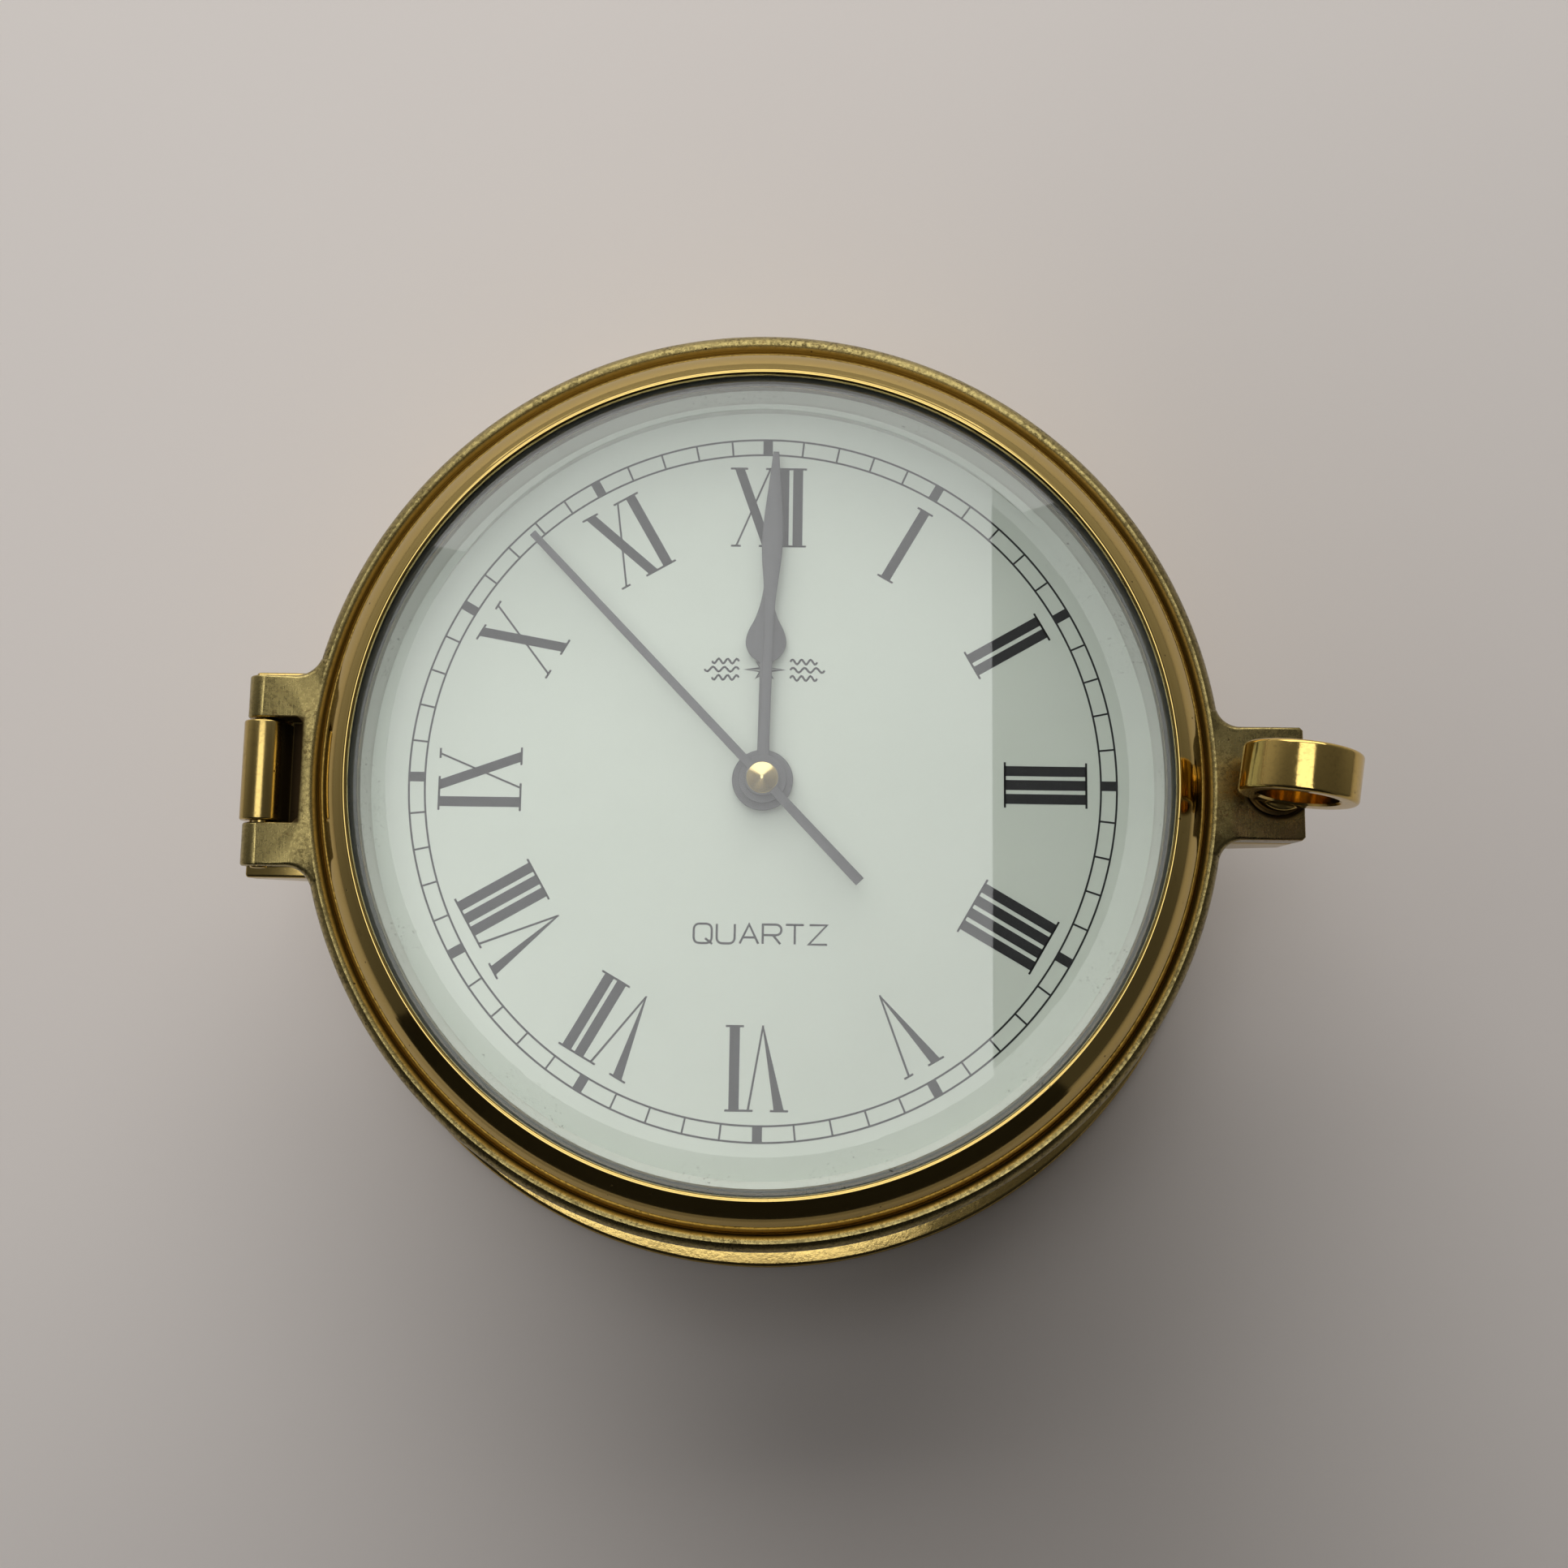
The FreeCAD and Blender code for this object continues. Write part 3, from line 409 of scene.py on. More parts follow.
# Keyed by name, without the number that Blender adds where a CAD material has the same name.
FINISHES = {made.name.split(".")[0]: made for made in (
    bezel_brass(),
    brass("case_brass", gold=(0.66, 0.48, 0.165)),
    brass("bracket_brass", shine=0.16, wear=0.25, brush=(0.3, 5.0, 2.0), depth=0.015),
    brass("screw_brass", gold=(0.66, 0.465, 0.145), shine=0.07, wear=0.28,
          depth=0.010, speck=0.45),
    turned_brass("cap_brass", gold=(0.78, 0.60, 0.28)),
    turned_brass("plate_brass", gold=(0.60, 0.44, 0.18), shine=0.24),
    rolled_metal("screw_steel", (0.50, 0.50, 0.51), 0.28),
    rolled_metal("spring_steel", (0.60, 0.60, 0.60), 0.22),
    rolled_metal("plate_aluminium", (0.70, 0.71, 0.72), 0.32),
    dial_enamel(),
    shade_ring_white(),
    hand_paint(),
    dial_ink(),
    clear_glass(),
    moulded("rubber", (0.035, 0.036, 0.034), 0.62, 0.3, 0.03),
    moulded("gasket", (0.055, 0.060, 0.048), 0.60, 0.3, 0.03),
    brass("tarnish", gold=(0.085, 0.058, 0.026), shine=0.34, wear=0.5),
    # the glass retaining ring is dark all round, as painted shade under the bezel's lip
    turned_brass("ring_painted_shade", gold=(0.16, 0.15, 0.10), shine=0.45),
    moulded("black_plastic", (0.030, 0.031, 0.034), 0.40, 0.25, 0.03),
    moulded("white_plastic", (0.76, 0.74, 0.66), 0.36, 0.08, 0.01),
    cell_sleeve(),
    circuit_green(),
    wound_wire(),
    moulded("magnet", (0.10, 0.095, 0.095), 0.42, 0.3, 0.02),
)}


# ---- outlines, in millimetres

def arc(start, end, radius, side, count):
    """Points along a short arc, start left out. side 1 bulges to the left of the way."""
    half = math.dist(start, end) / 2
    rise = math.sqrt(max(radius * radius - half * half, 0.0)) * side
    along = ((end[0] - start[0]) / (2 * half), (end[1] - start[1]) / (2 * half))
    centre = ((start[0] + end[0]) / 2 + along[1] * rise, (start[1] + end[1]) / 2 - along[0] * rise)
    first = math.atan2(start[1] - centre[1], start[0] - centre[0])
    turn = math.atan2(end[1] - centre[1], end[0] - centre[0]) - first
    turn = (turn + math.pi) % math.tau - math.pi
    angles = [first + turn * step / count for step in range(1, count + 1)]
    return [(centre[0] + radius * math.cos(a), centre[1] + radius * math.sin(a)) for a in angles]


def outline(*points):
    """A closed outline. A point that goes on with a radius, a side and a count is reached along an arc."""
    made = []
    for point in points:
        if len(point) == 2:
            made.append(point)
        else:
            made += arc(made[-1], point[:2], *point[2:])
    return made


def smooth_line(points):
    """A smooth line through the points."""
    count = 8
    ends = [points[0]] + list(points) + [points[-1]]
    made = []
    for a, b, c, d in zip(ends, ends[1:], ends[2:], ends[3:]):
        for step in range(count):
            t = step / count
            weights = (
                -0.5 * t + t * t - 0.5 * t ** 3,
                1 - 2.5 * t * t + 1.5 * t ** 3,
                0.5 * t + 2 * t * t - 1.5 * t ** 3,
                -0.5 * t * t + 0.5 * t ** 3,
            )
            made.append(tuple(sum(w * p[k] for w, p in zip(weights, (a, b, c, d))) for k in (0, 1)))
    return made + [points[-1]]


def mirrored(right):
    """A hand's outline from its right-hand half widths, root to tip."""
    return right + [(-x, y) for x, y in reversed(right)]


# ---- solids

def settled(obj):
    """Replaces an object's modifiers by the plain mesh that they make."""
    graph = bpy.context.evaluated_depsgraph_get()
    made = bpy.data.meshes.new_from_object(obj.evaluated_get(graph))
    obj.modifiers.clear()
    obj.data = made
    return obj


def in_scene(name, data):
    """A new object in the scene that holds this data."""
    obj = bpy.data.objects.new(name, data)
    bpy.context.scene.collection.objects.link(obj)
    return obj


def mesh_object(name, work):
    """A new object that holds a bmesh."""
    data = bpy.data.meshes.new(name)
    work.to_mesh(data)
    work.free()
    return in_scene(name, data)


def ring_faces(count, rings, first=0):
    """The side faces between rings of count corners each, which follow one another from the first."""
    faces = []
    for here in range(first, first + (rings - 1) * count, count):
        for index in range(count):
            after = (index + 1) % count
            faces.append((here + index, here + after, here + after + count, here + index + count))
    return faces


def from_faces(name, points, faces, merged=True):
    """An object from its corners in millimetres and its faces, which are turned outwards."""
    work = bmesh.new()
    corners = [work.verts.new(Vector(point) * MM) for point in points]
    for face in faces:
        work.faces.new([corners[index] for index in face])
    if merged:
        bmesh.ops.remove_doubles(work, verts=work.verts, dist=SAME_POINT)
    bmesh.ops.recalc_face_normals(work, faces=work.faces)
    return mesh_object(name, work)


def tree_of(name, inputs, output, kinds):
    """A Geometry Nodes tree with its sockets and its nodes, none of them linked yet."""
    tree = bpy.data.node_groups.new(name, "GeometryNodeTree")
    for label, kind in inputs.items():
        tree.interface.new_socket(label, in_out="INPUT", socket_type="NodeSocket" + kind)
    tree.interface.new_socket(output, in_out="OUTPUT", socket_type="NodeSocketGeometry")
    return tree, [tree.nodes.new(kind) for kind in kinds]


def linked(tree, *links):
    """Links a tree's nodes. Each link is a node, its output, the next node and its input."""
    for source, output, target, entry in links:
        tree.links.new(source.outputs[output], target.inputs[entry])
    return tree


def lathe_tree():
    """Geometry Nodes that turn a flat outline about Z, as a lathe would."""
    tree, nodes = tree_of(
        "lathe", {"Outline": "Geometry", "Steps": "Int", "Waist": "Float", "Finish": "Material"}, "Solid",
        ("NodeGroupInput", "GeometryNodeMeshToCurve", "GeometryNodeCurvePrimitiveCircle",
         "GeometryNodeCurveToMesh", "GeometryNodeMergeByDistance", "GeometryNodeRealizeInstances",
         "GeometryNodeSetMaterial", "NodeGroupOutput"))
    start, line, circle, sweep, merge, real, paint, end = nodes
    merge.inputs["Distance"].default_value = SAME_POINT
    return linked(
        tree,
        (start, "Outline", line, "Mesh"),
        (start, "Steps", circle, "Resolution"),
        (start, "Waist", circle, "Radius"),
        (circle, "Curve", sweep, "Curve"),
        (line, "Curve", sweep, "Profile Curve"),
        (sweep, "Mesh", merge, "Geometry"),
        (merge, "Geometry", real, "Geometry"),
        (real, "Geometry", paint, "Geometry"),
        (start, "Finish", paint, "Material"),
        (paint, "Geometry", end, "Solid"))


def marks_tree():
    """Geometry Nodes that lay bars of ink round a circle."""
    tree, nodes = tree_of(
        "ring_of_marks",
        {"Geometry": "Geometry", "Count": "Int", "Middle Radius": "Float", "Mark Size": "Vector",
         "Lift": "Vector", "Finish": "Material"}, "Marks",
        ("NodeGroupInput", "GeometryNodeMeshCircle", "GeometryNodeMeshCube", "GeometryNodeInputPosition",
         "FunctionNodeAlignRotationToVector", "GeometryNodeInstanceOnPoints", "GeometryNodeTransform",
         "GeometryNodeRealizeInstances", "GeometryNodeSetMaterial", "NodeGroupOutput"))
    start, circle, bar, place, aim, lay, lift, real, paint, end = nodes
    aim.axis = "Y"
    aim.pivot_axis = "Z"
    return linked(
        tree,
        (start, "Count", circle, "Vertices"),
        (start, "Middle Radius", circle, "Radius"),
        (start, "Mark Size", bar, "Size"),
        (place, "Position", aim, "Vector"),
        (circle, "Mesh", lay, "Points"),
        (bar, "Mesh", lay, "Instance"),
        (aim, "Rotation", lay, "Rotation"),
        (lay, "Instances", lift, "Geometry"),
        (start, "Lift", lift, "Translation"),
        (lift, "Geometry", real, "Geometry"),
        (real, "Geometry", paint, "Geometry"),
        (start, "Finish", paint, "Material"),
        (paint, "Geometry", end, "Marks"))


LATHE = lathe_tree()
MARKS = marks_tree()


def grown(obj, tree, **inputs):
    """Runs a tree on an object and keeps the plain mesh that comes out."""
    modifier = obj.modifiers.new(tree.name, "NODES")
    modifier.node_group = tree
    sockets = {item.name: item.identifier for item in tree.interface.items_tree if item.in_out == "INPUT"}
    for name, value in inputs.items():
        modifier[sockets[name.replace("_", " ")]] = value
    return settled(obj)


def turned(name, points, finish, steps=384):
    """A solid turned about Z from its closed (radius, height) outline."""
    waist = 10.0  # radius of the circle that the outline is swept round
    work = bmesh.new()
    corners = [work.verts.new(((r - waist) * MM, -z * MM, 0.0)) for r, z in points]
    for first, second in zip(corners, corners[1:] + corners[:1]):
        work.edges.new((first, second))
    obj = mesh_object(name, work)
    grown(obj, LATHE, Steps=steps, Waist=waist * MM, Finish=FINISHES[finish])
    work = bmesh.new()
    work.from_mesh(obj.data)
    bmesh.ops.remove_doubles(work, verts=work.verts, dist=2 * SAME_POINT)
    bmesh.ops.recalc_face_normals(work, faces=work.faces)
    work.to_mesh(obj.data)
    work.free()
    return obj


def moved(obj, matrix):
    """Moves a piece by its mesh, so that its object stays at the origin."""
    obj.data.transform(matrix)
    return obj


def shift(x, y, z):
    return Matrix.Translation((x * MM, y * MM, z * MM))


def lying():
    """Lays an upright axis along Y."""
    return Matrix.Rotation(math.radians(-90), 4, "X")


def slab(name, plan, low, high, step_count=5):
    """A flat plate from its plan. Each point is x, y, then how far in and how high the rounding of
    its top edge goes, then the same for its bottom edge."""
    area = sum(a[0] * b[1] - b[0] * a[1] for a, b in zip(plan, plan[1:] + plan[:1]))
    turn = 1.0 if area > 0 else -1.0
    mitre_limit = 0.6
    inward = []
    for before, here, after in zip(plan[-1:] + plan[:-1], plan, plan[1:] + plan[:1]):
        normals = []
        for a, b in ((before, here), (here, after)):
            run = Vector((b[0] - a[0], b[1] - a[1]))
            normals.append(Vector((-run.y, run.x)).normalized() * turn)
        mean = (normals[0] + normals[1]).normalized()
        inward.append(mean / max(mean.dot(normals[0]), mitre_limit))
    angles = [math.pi / 2 * step / step_count for step in range(step_count + 1)]
    rounds = [(a, high, -1, 2) for a in angles] + [(a, low, 1, 4) for a in reversed(angles)]
    rings = []
    for a, level, way, edge in rounds:
        back = 1 - math.sin(a)
        rise = way * (1 - math.cos(a))
        rings.append([(p[0] + n.x * p[edge] * back, p[1] + n.y * p[edge] * back, level + p[edge + 1] * rise)
                      for p, n in zip(plan, inward)])
    count = len(plan)
    points = [point for ring in rings for point in ring]
    faces = [tuple(range(count)), tuple(range(len(points) - 1, len(points) - 1 - count, -1))]
    return from_faces(name, points, faces + ring_faces(count, len(rings)))


def plate(name, plan, low, high, edge):
    """A slab with the same rounding all along its edges."""
    return slab(name, [(x, y, edge, edge, edge, edge) for x, y in plan], low, high, 3)


def prism(name, side, left, right, edge=0.5):
    """A solid from its (x, z) side outline, cut square along Y, with softened edges."""
    count = len(side)
    points = [(x, left, z) for x, z in side] + [(x, right, z) for x, z in side]
    faces = [tuple(range(count)), tuple(range(2 * count - 1, count - 1, -1))]
    obj = from_faces(name, points, faces + ring_faces(count, 2))
    soften = obj.modifiers.new("soft_edges", "BEVEL")
    soften.width = edge * MM
    soften.segments = 3
    soften.limit_method = "ANGLE"
    soften.angle_limit = math.radians(35)
    return settled(obj)


def bored(obj, *tools):
    """Cuts the tools out of a piece, and removes the tools."""
    for tool in tools:
        cut = obj.modifiers.new("bore", "BOOLEAN")
        cut.operation = "DIFFERENCE"
        cut.solver = "EXACT"
        cut.object = tool
        settled(obj)
        bpy.data.objects.remove(tool)


def joined(name, *parts):
    """Several shells of one casting as one piece."""
    work = bmesh.new()
    for part in parts:
        work.from_mesh(part.data)
        bpy.data.objects.remove(part)
    return mesh_object(name, work)


def finished(obj, finish, body, *nodes, slot=None, crease=32):
    """Paints a piece, shades it, and hangs it on its body in place of its CAD nodes."""
    obj.data.materials.clear()
    obj.data.materials.append(FINISHES[finish])
    obj.data.polygons.foreach_set("material_index", [0] * len(obj.data.polygons))
    obj.data.shade_smooth()
    obj.data.set_sharp_from_angle(angle=math.radians(crease))
    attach(obj, body)
    if nodes:
        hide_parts(*nodes)


# ---- bezel

def flowing_lug(end, half, fillet):
    """Half a lug's plan from its end to the bead, with roundings that grow into the bead's own."""
    free_edge = (0.45, 0.45, 0.4, 0.4)  # roundings at the lug's end, as slab reads them
    bead_edge = (1.6, 2.6, 2.6, 2.6)
    grown_at_bend = 0.08  # how much of the change is done where the bend begins
    bends = 12
    reach = BEAD_RADIUS + fillet
    centre = (math.sqrt(reach ** 2 - (half + fillet) ** 2), half + fillet)
    tangent = (centre[0] * BEAD_RADIUS / reach, centre[1] * BEAD_RADIUS / reach)
    run = [(end, half, 0.0), ((end + centre[0]) / 2, half, 0.0), (centre[0], half, grown_at_bend)]
    bend = arc((centre[0], half), tangent, fillet, 1, bends)
    run += [(x, y, grown_at_bend + (1 - grown_at_bend) * (step + 1) / bends)
            for step, (x, y) in enumerate(bend)]
    made = [(x, y, *(a + (b - a) * f for a, b in zip(free_edge, bead_edge))) for x, y, f in run]
    angle = math.atan2(tangent[1], tangent[0])
    for step in range(bends + 1):
        a = angle * (1 - step / bends)
        made.append((BEAD_CREST * math.cos(a), BEAD_CREST * math.sin(a), 0.0, 0.0, 0.0, 0.0))
    return made


def both_halves(upper):
    """A lug's whole plan from the half of it on the +Y side."""
    return upper[:-1] + [(x, -y, *rest) for x, y, *rest in reversed(upper)]


def bezel():
    """One casting: beaded rim, groove, polished dome, bright lip, hinge lugs and clasp lug."""
    ring = turned("ring", outline(
        (64.5, LUG_LOW), (GROOVE_RADIUS, LUG_LOW), (BEAD_RADIUS, 53.65, 2.65, -1, 12),
        (BEAD_CREST, LUG_TOP, 2.7, -1, 12), (67.05, 55.32, 2.0, -1, 8), (61.95, 61.13, 11.0, -1, 32),
        (61.25, 61.02, 0.42, -1, 8), (61.2, 60.9), (61.2, 60.3), (62.8, 60.3), (62.8, 55.5), (64.3, 55.5),
        (64.3, 51.2)), "bezel_brass")
    soft = (0.3, 0.3, 0.3, 0.3)
    window = [(PIN_X, -WINDOW_HALF), (70.5, -WINDOW_HALF), (69.7, -7.2), (69.7, 7.2), (70.5, WINDOW_HALF),
              (PIN_X, WINDOW_HALF)]
    plan = both_halves(flowing_lug(PIN_X, HINGE_HALF, 4.0)) + [(*p, *soft) for p in window]
    hinge = slab("hinge_lugs", [(-x, y, *rest) for x, y, *rest in plan], LUG_LOW, LUG_TOP)
    at_pin = shift(-PIN_X, 0, PIN_Z) @ lying()
    ends = []
    for low, high in ((WINDOW_HALF, HINGE_HALF), (-HINGE_HALF, -WINDOW_HALF)):
        end = turned("lug_end", outline(
            (PIN_BORE, low), (2.3, low), (2.65, low + 0.35, 0.35, -1, 4), (2.65, high - 0.35),
            (2.3, high, 0.35, -1, 4), (PIN_BORE, high)), "bezel_brass", 96)
        ends.append(moved(end, at_pin))
    bore = turned("pin_bore", [(0, -20), (PIN_BORE, -20), (PIN_BORE, 20), (0, 20)], "bezel_brass", 48)
    bored(hinge, moved(bore, at_pin))
    clasp = flowing_lug(CLASP_END, CLASP_HALF, 3.5)
    cut = 0.5
    corner = [(CLASP_END, CLASP_HALF - cut, *clasp[0][2:]), (CLASP_END - cut, CLASP_HALF, *clasp[0][2:])]
    clasp = slab("clasp_lug", both_halves(corner + clasp[1:]), LUG_LOW, LUG_TOP)
    sink = turned("sink", [(0, 55.3), (5.3, 55.3), (5.3, 60), (0, 60)], "bezel_brass", 96)
    hole = turned("hole", [(0, 40), (2.3, 40), (2.3, 60), (0, 60)], "bezel_brass", 64)
    bored(clasp, moved(sink, shift(CLASP_X, 0, 0)), moved(hole, shift(CLASP_X, 0, 0)))
    casting = joined("bezel_casting", ring, hinge, clasp, *ends)
    finished(casting, "bezel_brass", "bezel", "bezel_ring")


def glass():
    """Flat plate with a broad bevel and a ground rim."""
    pane = turned("bevelled_glass", outline(
        (0.0, 56.3), (62.3, 56.3), (62.6, 56.6), (62.6, 60.0), (61.2, 60.0), (55.56, 61.28),
        (55.4, 61.3), (0.0, 61.3)), "glass")
    finished(pane, "glass", "bezel", "glass", crease=4)
    pane.visible_shadow = False


# ---- case and hinge

def case():
    """Case with a wide thin flange that flows into its wall, and three holes for screws."""
    shell = turned("shell", outline(
        (62.4, 0.0), (81.1, 0.0), (82.0, 0.9, 0.9, -1, 6), (81.1, 1.8, 0.9, -1, 6), (73.0, 2.4),
        (66.5, 8.9, 6.5, 1, 16), (66.5, 50.0), (65.9, 50.6, 0.6, -1, 4), (64.9, 50.6), (64.9, 49.8),
        (63.3, 49.8), (63.3, 50.6), (62.4, 50.6), (62.4, 43.0), (59.0, 43.0), (59.0, 40.0), (63.4, 37.0),
        (63.4, 3.2), (58.0, 3.2), (58.0, 1.6), (62.4, 1.6)), "case_brass")
    hole_circle = 76.0
    for degrees in (90, 210, 330):
        a = math.radians(degrees)
        place = shift(hole_circle * math.cos(a), hole_circle * math.sin(a), 0)
        sink = turned("sink", [(0, -1), (2.2, -1), (2.2, 0.9), (4.2, 2.3), (4.2, 4), (0, 4)],
                      "case_brass", 64)
        bored(shell, moved(sink, place))
    shell.name = "case_casting"
    finished(shell, "case_brass", "case", "case_shell")


def hinge():
    """Bracket on the case wall, the barrel that stands on it, and the pin."""
    radius = 3.15
    outside, inside, crown = -PIN_X - radius, -PIN_X + radius, PIN_Z + radius
    seat = prism("seat", [(outside, 46.0), (-64.0, 35.6), (-64.0, SEAT_TOP), (outside, SEAT_TOP)], -16, 16)
    hump = outline((outside, 49.5), (inside, 49.5), (inside, PIN_Z), (-PIN_X, crown, radius, -1, 12),
                   (outside, PIN_Z, radius, -1, 12))
    barrel = prism("barrel", hump, -7.6, 7.6, 0.3)
    finished(joined("hinge_bracket_casting", seat, barrel), "bracket_brass", "case", "hinge_bracket")
    pin = turned("hinge_pin_rod", outline(
        (0.0, -14.9), (0.9, -14.8), (1.25, -14.45, 0.35, -1, 4), (1.25, 14.45), (0.9, 14.8, 0.35, -1, 4),
        (0.0, 14.9)), "bracket_brass", 64)
    finished(moved(pin, shift(-PIN_X, 0, PIN_Z) @ lying()), "bracket_brass", "case", "hinge_pin")


def clasp_seat():
    """Bracket under the clasp lug, with the hole that the ring screw bites into."""
    side = [(64.5, SEAT_TOP), (64.5, 35.2), (CLASP_END, 43.4), (CLASP_END, SEAT_TOP)]
    seat = prism("clasp_seat", side, -CLASP_HALF, CLASP_HALF)
    hole = turned("hole", [(0, 44.4), (2.5, 44.4), (2.5, 52), (0, 52)], "bracket_brass", 64)
    bored(seat, moved(hole, shift(CLASP_X, 0, 0)))
    finished(seat, "bracket_brass", "case", "clasp_bracket")


def threaded_rod(name, radius, depth, pitch, low, high):
    """A screwed shank. Its crests stand at the radius, its roots lie a depth under it, and it tapers
    in at its low end."""
    steps = 40
    rows_per_turn = 6
    lead_in = 0.8
    tip_share = 0.35
    rows = int((high - low) / pitch * rows_per_turn)
    points = []
    for row in range(rows + 1):
        z = low + (high - low) * row / rows
        taper = min(1.0, (z - low) / lead_in + tip_share)
        for step in range(steps):
            turn = step / steps
            wave = abs(((z / pitch - turn) % 1.0) * 2 - 1)
            r = (radius - depth * wave) * taper
            points.append((r * math.cos(math.tau * turn), r * math.sin(math.tau * turn), z))
    faces = [tuple(range(steps - 1, -1, -1)), tuple(range(rows * steps, (rows + 1) * steps))]
    return from_faces(name, points, faces + ring_faces(steps, rows + 1))


def ring_screw():
    """Clamp screw with an upright finger ring on a round foot, and its washer."""
    band = turned("band", outline(
        (5.66, -3.2), (6.0, -3.5), (7.75, -3.6), (8.35, -3.0, 0.6, -1, 6), (8.35, 3.0),
        (7.75, 3.6, 0.6, -1, 6), (6.0, 3.5), (5.66, 3.2)), "screw_brass", 192)
    band_height = 66.3
    moved(band, shift(0, 0, band_height) @ lying())
    foot = turned("foot", outline(
        (0.0, 55.85), (4.2, 55.85), (4.4, 56.05), (4.4, 58.3), (3.9, 58.9, 0.6, -1, 5), (3.3, 59.15),
        (2.6, 60.0, 1.2, 1, 5), (0.0, 60.0)), "screw_brass", 96)
    shank = threaded_rod("shank", radius=2.0, depth=0.35, pitch=0.8, low=45.5, high=56.0)
    screw = joined("ring_screw", band, foot, shank)
    moved(screw, shift(CLASP_X, 0, 0) @ Matrix.Rotation(math.radians(RING_TURN), 4, "Z"))
    finished(screw, "screw_brass", "thumbscrew", "ring_thumbscrew")
    washer = turned("ring_screw_washer", [
        (2.3, 55.35), (4.8, 55.35), (4.9, 55.45), (4.9, 55.7), (4.8, 55.8), (2.3, 55.8)], "tarnish", 96)
    finished(moved(washer, shift(CLASP_X, 0, 0)), "tarnish", "thumbscrew_washer", "thumbscrew_washer",
             slot="bracket_brass")


# ---- dial

def dial():
    """Dial plate and the white sloping ring that stands on its edge."""
    disc = turned("dial_disc", [
        (3.2, 47.2), (61.5, 47.2), (61.5, 47.9), (61.4, DIAL_TOP), (3.3, DIAL_TOP), (3.2, 47.9)],
        "dial_white")
    finished(disc, "dial_white", "case", "dial_plate")
    slope = turned("sloping_ring", outline(
        (59.2, DIAL_TOP), (62.2, DIAL_TOP), (62.2, 50.4), (61.4, 50.4), (61.4, 52.3), (61.3, 52.4),
        (60.6, 52.4), (60.4, 52.25, 0.2, 1, 4)), "rehaut_white")
    finished(slope, "rehaut_white", "case", "rehaut_ring")


def ribbon(points, width, closed=False):
    """A band of ink of one width along a line, as the plans of its quads."""
    mitre_limit = 0.5
    count = len(points)
    sides = []
    for index, here in enumerate(points):
        before = points[index - 1] if index or closed else here
        after = points[(index + 1) % count] if index < count - 1 or closed else here
        runs = [Vector((b[0] - a[0], b[1] - a[1])) for a, b in ((before, here), (here, after))]
        runs = [run.normalized() for run in runs if run.length > 1e-9]
        mean = sum(runs, Vector((0.0, 0.0))).normalized()
        across = Vector((-mean.y, mean.x)) / max(mean.dot(runs[0]), mitre_limit) * width / 2
        sides.append(((here[0] + across.x, here[1] + across.y), (here[0] - across.x, here[1] - across.y)))
    pairs = list(zip(sides, sides[1:]))
    if closed:
        pairs.append((sides[-1], sides[0]))
    return [(a[0], b[0], b[1], a[1]) for a, b in pairs]


def printed(name, plans):
    """Ink on the dial: flat shapes, each from its plan, a few hundredths thick."""
    points = []
    faces = []
    for plan in plans:
        first = len(points)
        count = len(plan)
        points += [(x, y, INK_LOW) for x, y in plan] + [(x, y, INK_HIGH) for x, y in plan]
        faces.append(tuple(reversed(range(first, first + count))))
        faces.append(tuple(range(first + count, first + 2 * count)))
        faces += ring_faces(count, 2, first)
    ink = from_faces(name, points, faces, merged=False)
    finished(ink, "dial_ink", "case", slot="dial_white")


NUMERALS = ("XII", "I", "II", "III", "IIII", "V", "VI", "VII", "VIII", "IX", "X", "XI")
THICK = 1.55  # broad stroke of a numeral
THIN = 0.32  # fine stroke and serif
INSET = 0.35  # broad slanting stroke, in from the side of its letter
SERIF = 0.6  # how far a serif runs past its stroke
LOW_EDGE = 37.3  # from the clock's axis to the numerals' feet
HIGH_EDGE = 50.2
LETTER = {"I": THICK, "V": 6.6, "X": 6.9}
LETTER_GAP = 0.62


def numeral_strokes(letters):
    """Flat shapes of one upright numeral, centred, with thick and thin strokes and fine serifs."""
    width = sum(LETTER[letter] for letter in letters) + LETTER_GAP * (len(letters) - 1)
    left = -width / 2
    shapes = []

    def stroke(foot, foot_end, head, head_end):
        shapes.append([(foot, LOW_EDGE), (foot_end, LOW_EDGE), (head_end, HIGH_EDGE), (head, HIGH_EDGE)])

    for letter in letters:
        right = left + LETTER[letter]
        if letter == "I":
            stroke(left, right, left, right)
            feet = [(left, right, LOW_EDGE), (left, right, HIGH_EDGE)]
        elif letter == "V":
            tip = (left + right) / 2 + INSET
            stroke(tip, tip + 0.18, left + INSET, left + INSET + THICK)
            stroke(tip - 0.1, tip + 0.2, right - 0.9, right - 0.55)
            feet = [(left + INSET, left + INSET + THICK, HIGH_EDGE), (right - 0.9, right - 0.55, HIGH_EDGE)]
        else:
            stroke(right - INSET - THICK, right - INSET, left + INSET, left + INSET + THICK)
            stroke(left + 0.6, left + 0.6 + THIN, right - 0.6 - THIN, right - 0.6)
            feet = [(left + 0.6, left + 0.95, LOW_EDGE), (right - INSET - THICK, right - INSET, LOW_EDGE),
                    (left + INSET, left + INSET + THICK, HIGH_EDGE), (right - 0.95, right - 0.6, HIGH_EDGE)]
        for a, b, height in feet:
            inner = -THIN if height == HIGH_EDGE else THIN
            shapes.append([(a - SERIF, height), (b + SERIF, height), (b + SERIF, height + inner),
                           (a - SERIF, height + inner)])
        left = right + LETTER_GAP
    return shapes


def turned_plan(plan, degrees):
    """A plan turned clockwise round the dial."""
    a = math.radians(degrees)
    return [(x * math.cos(a) + y * math.sin(a), y * math.cos(a) - x * math.sin(a)) for x, y in plan]


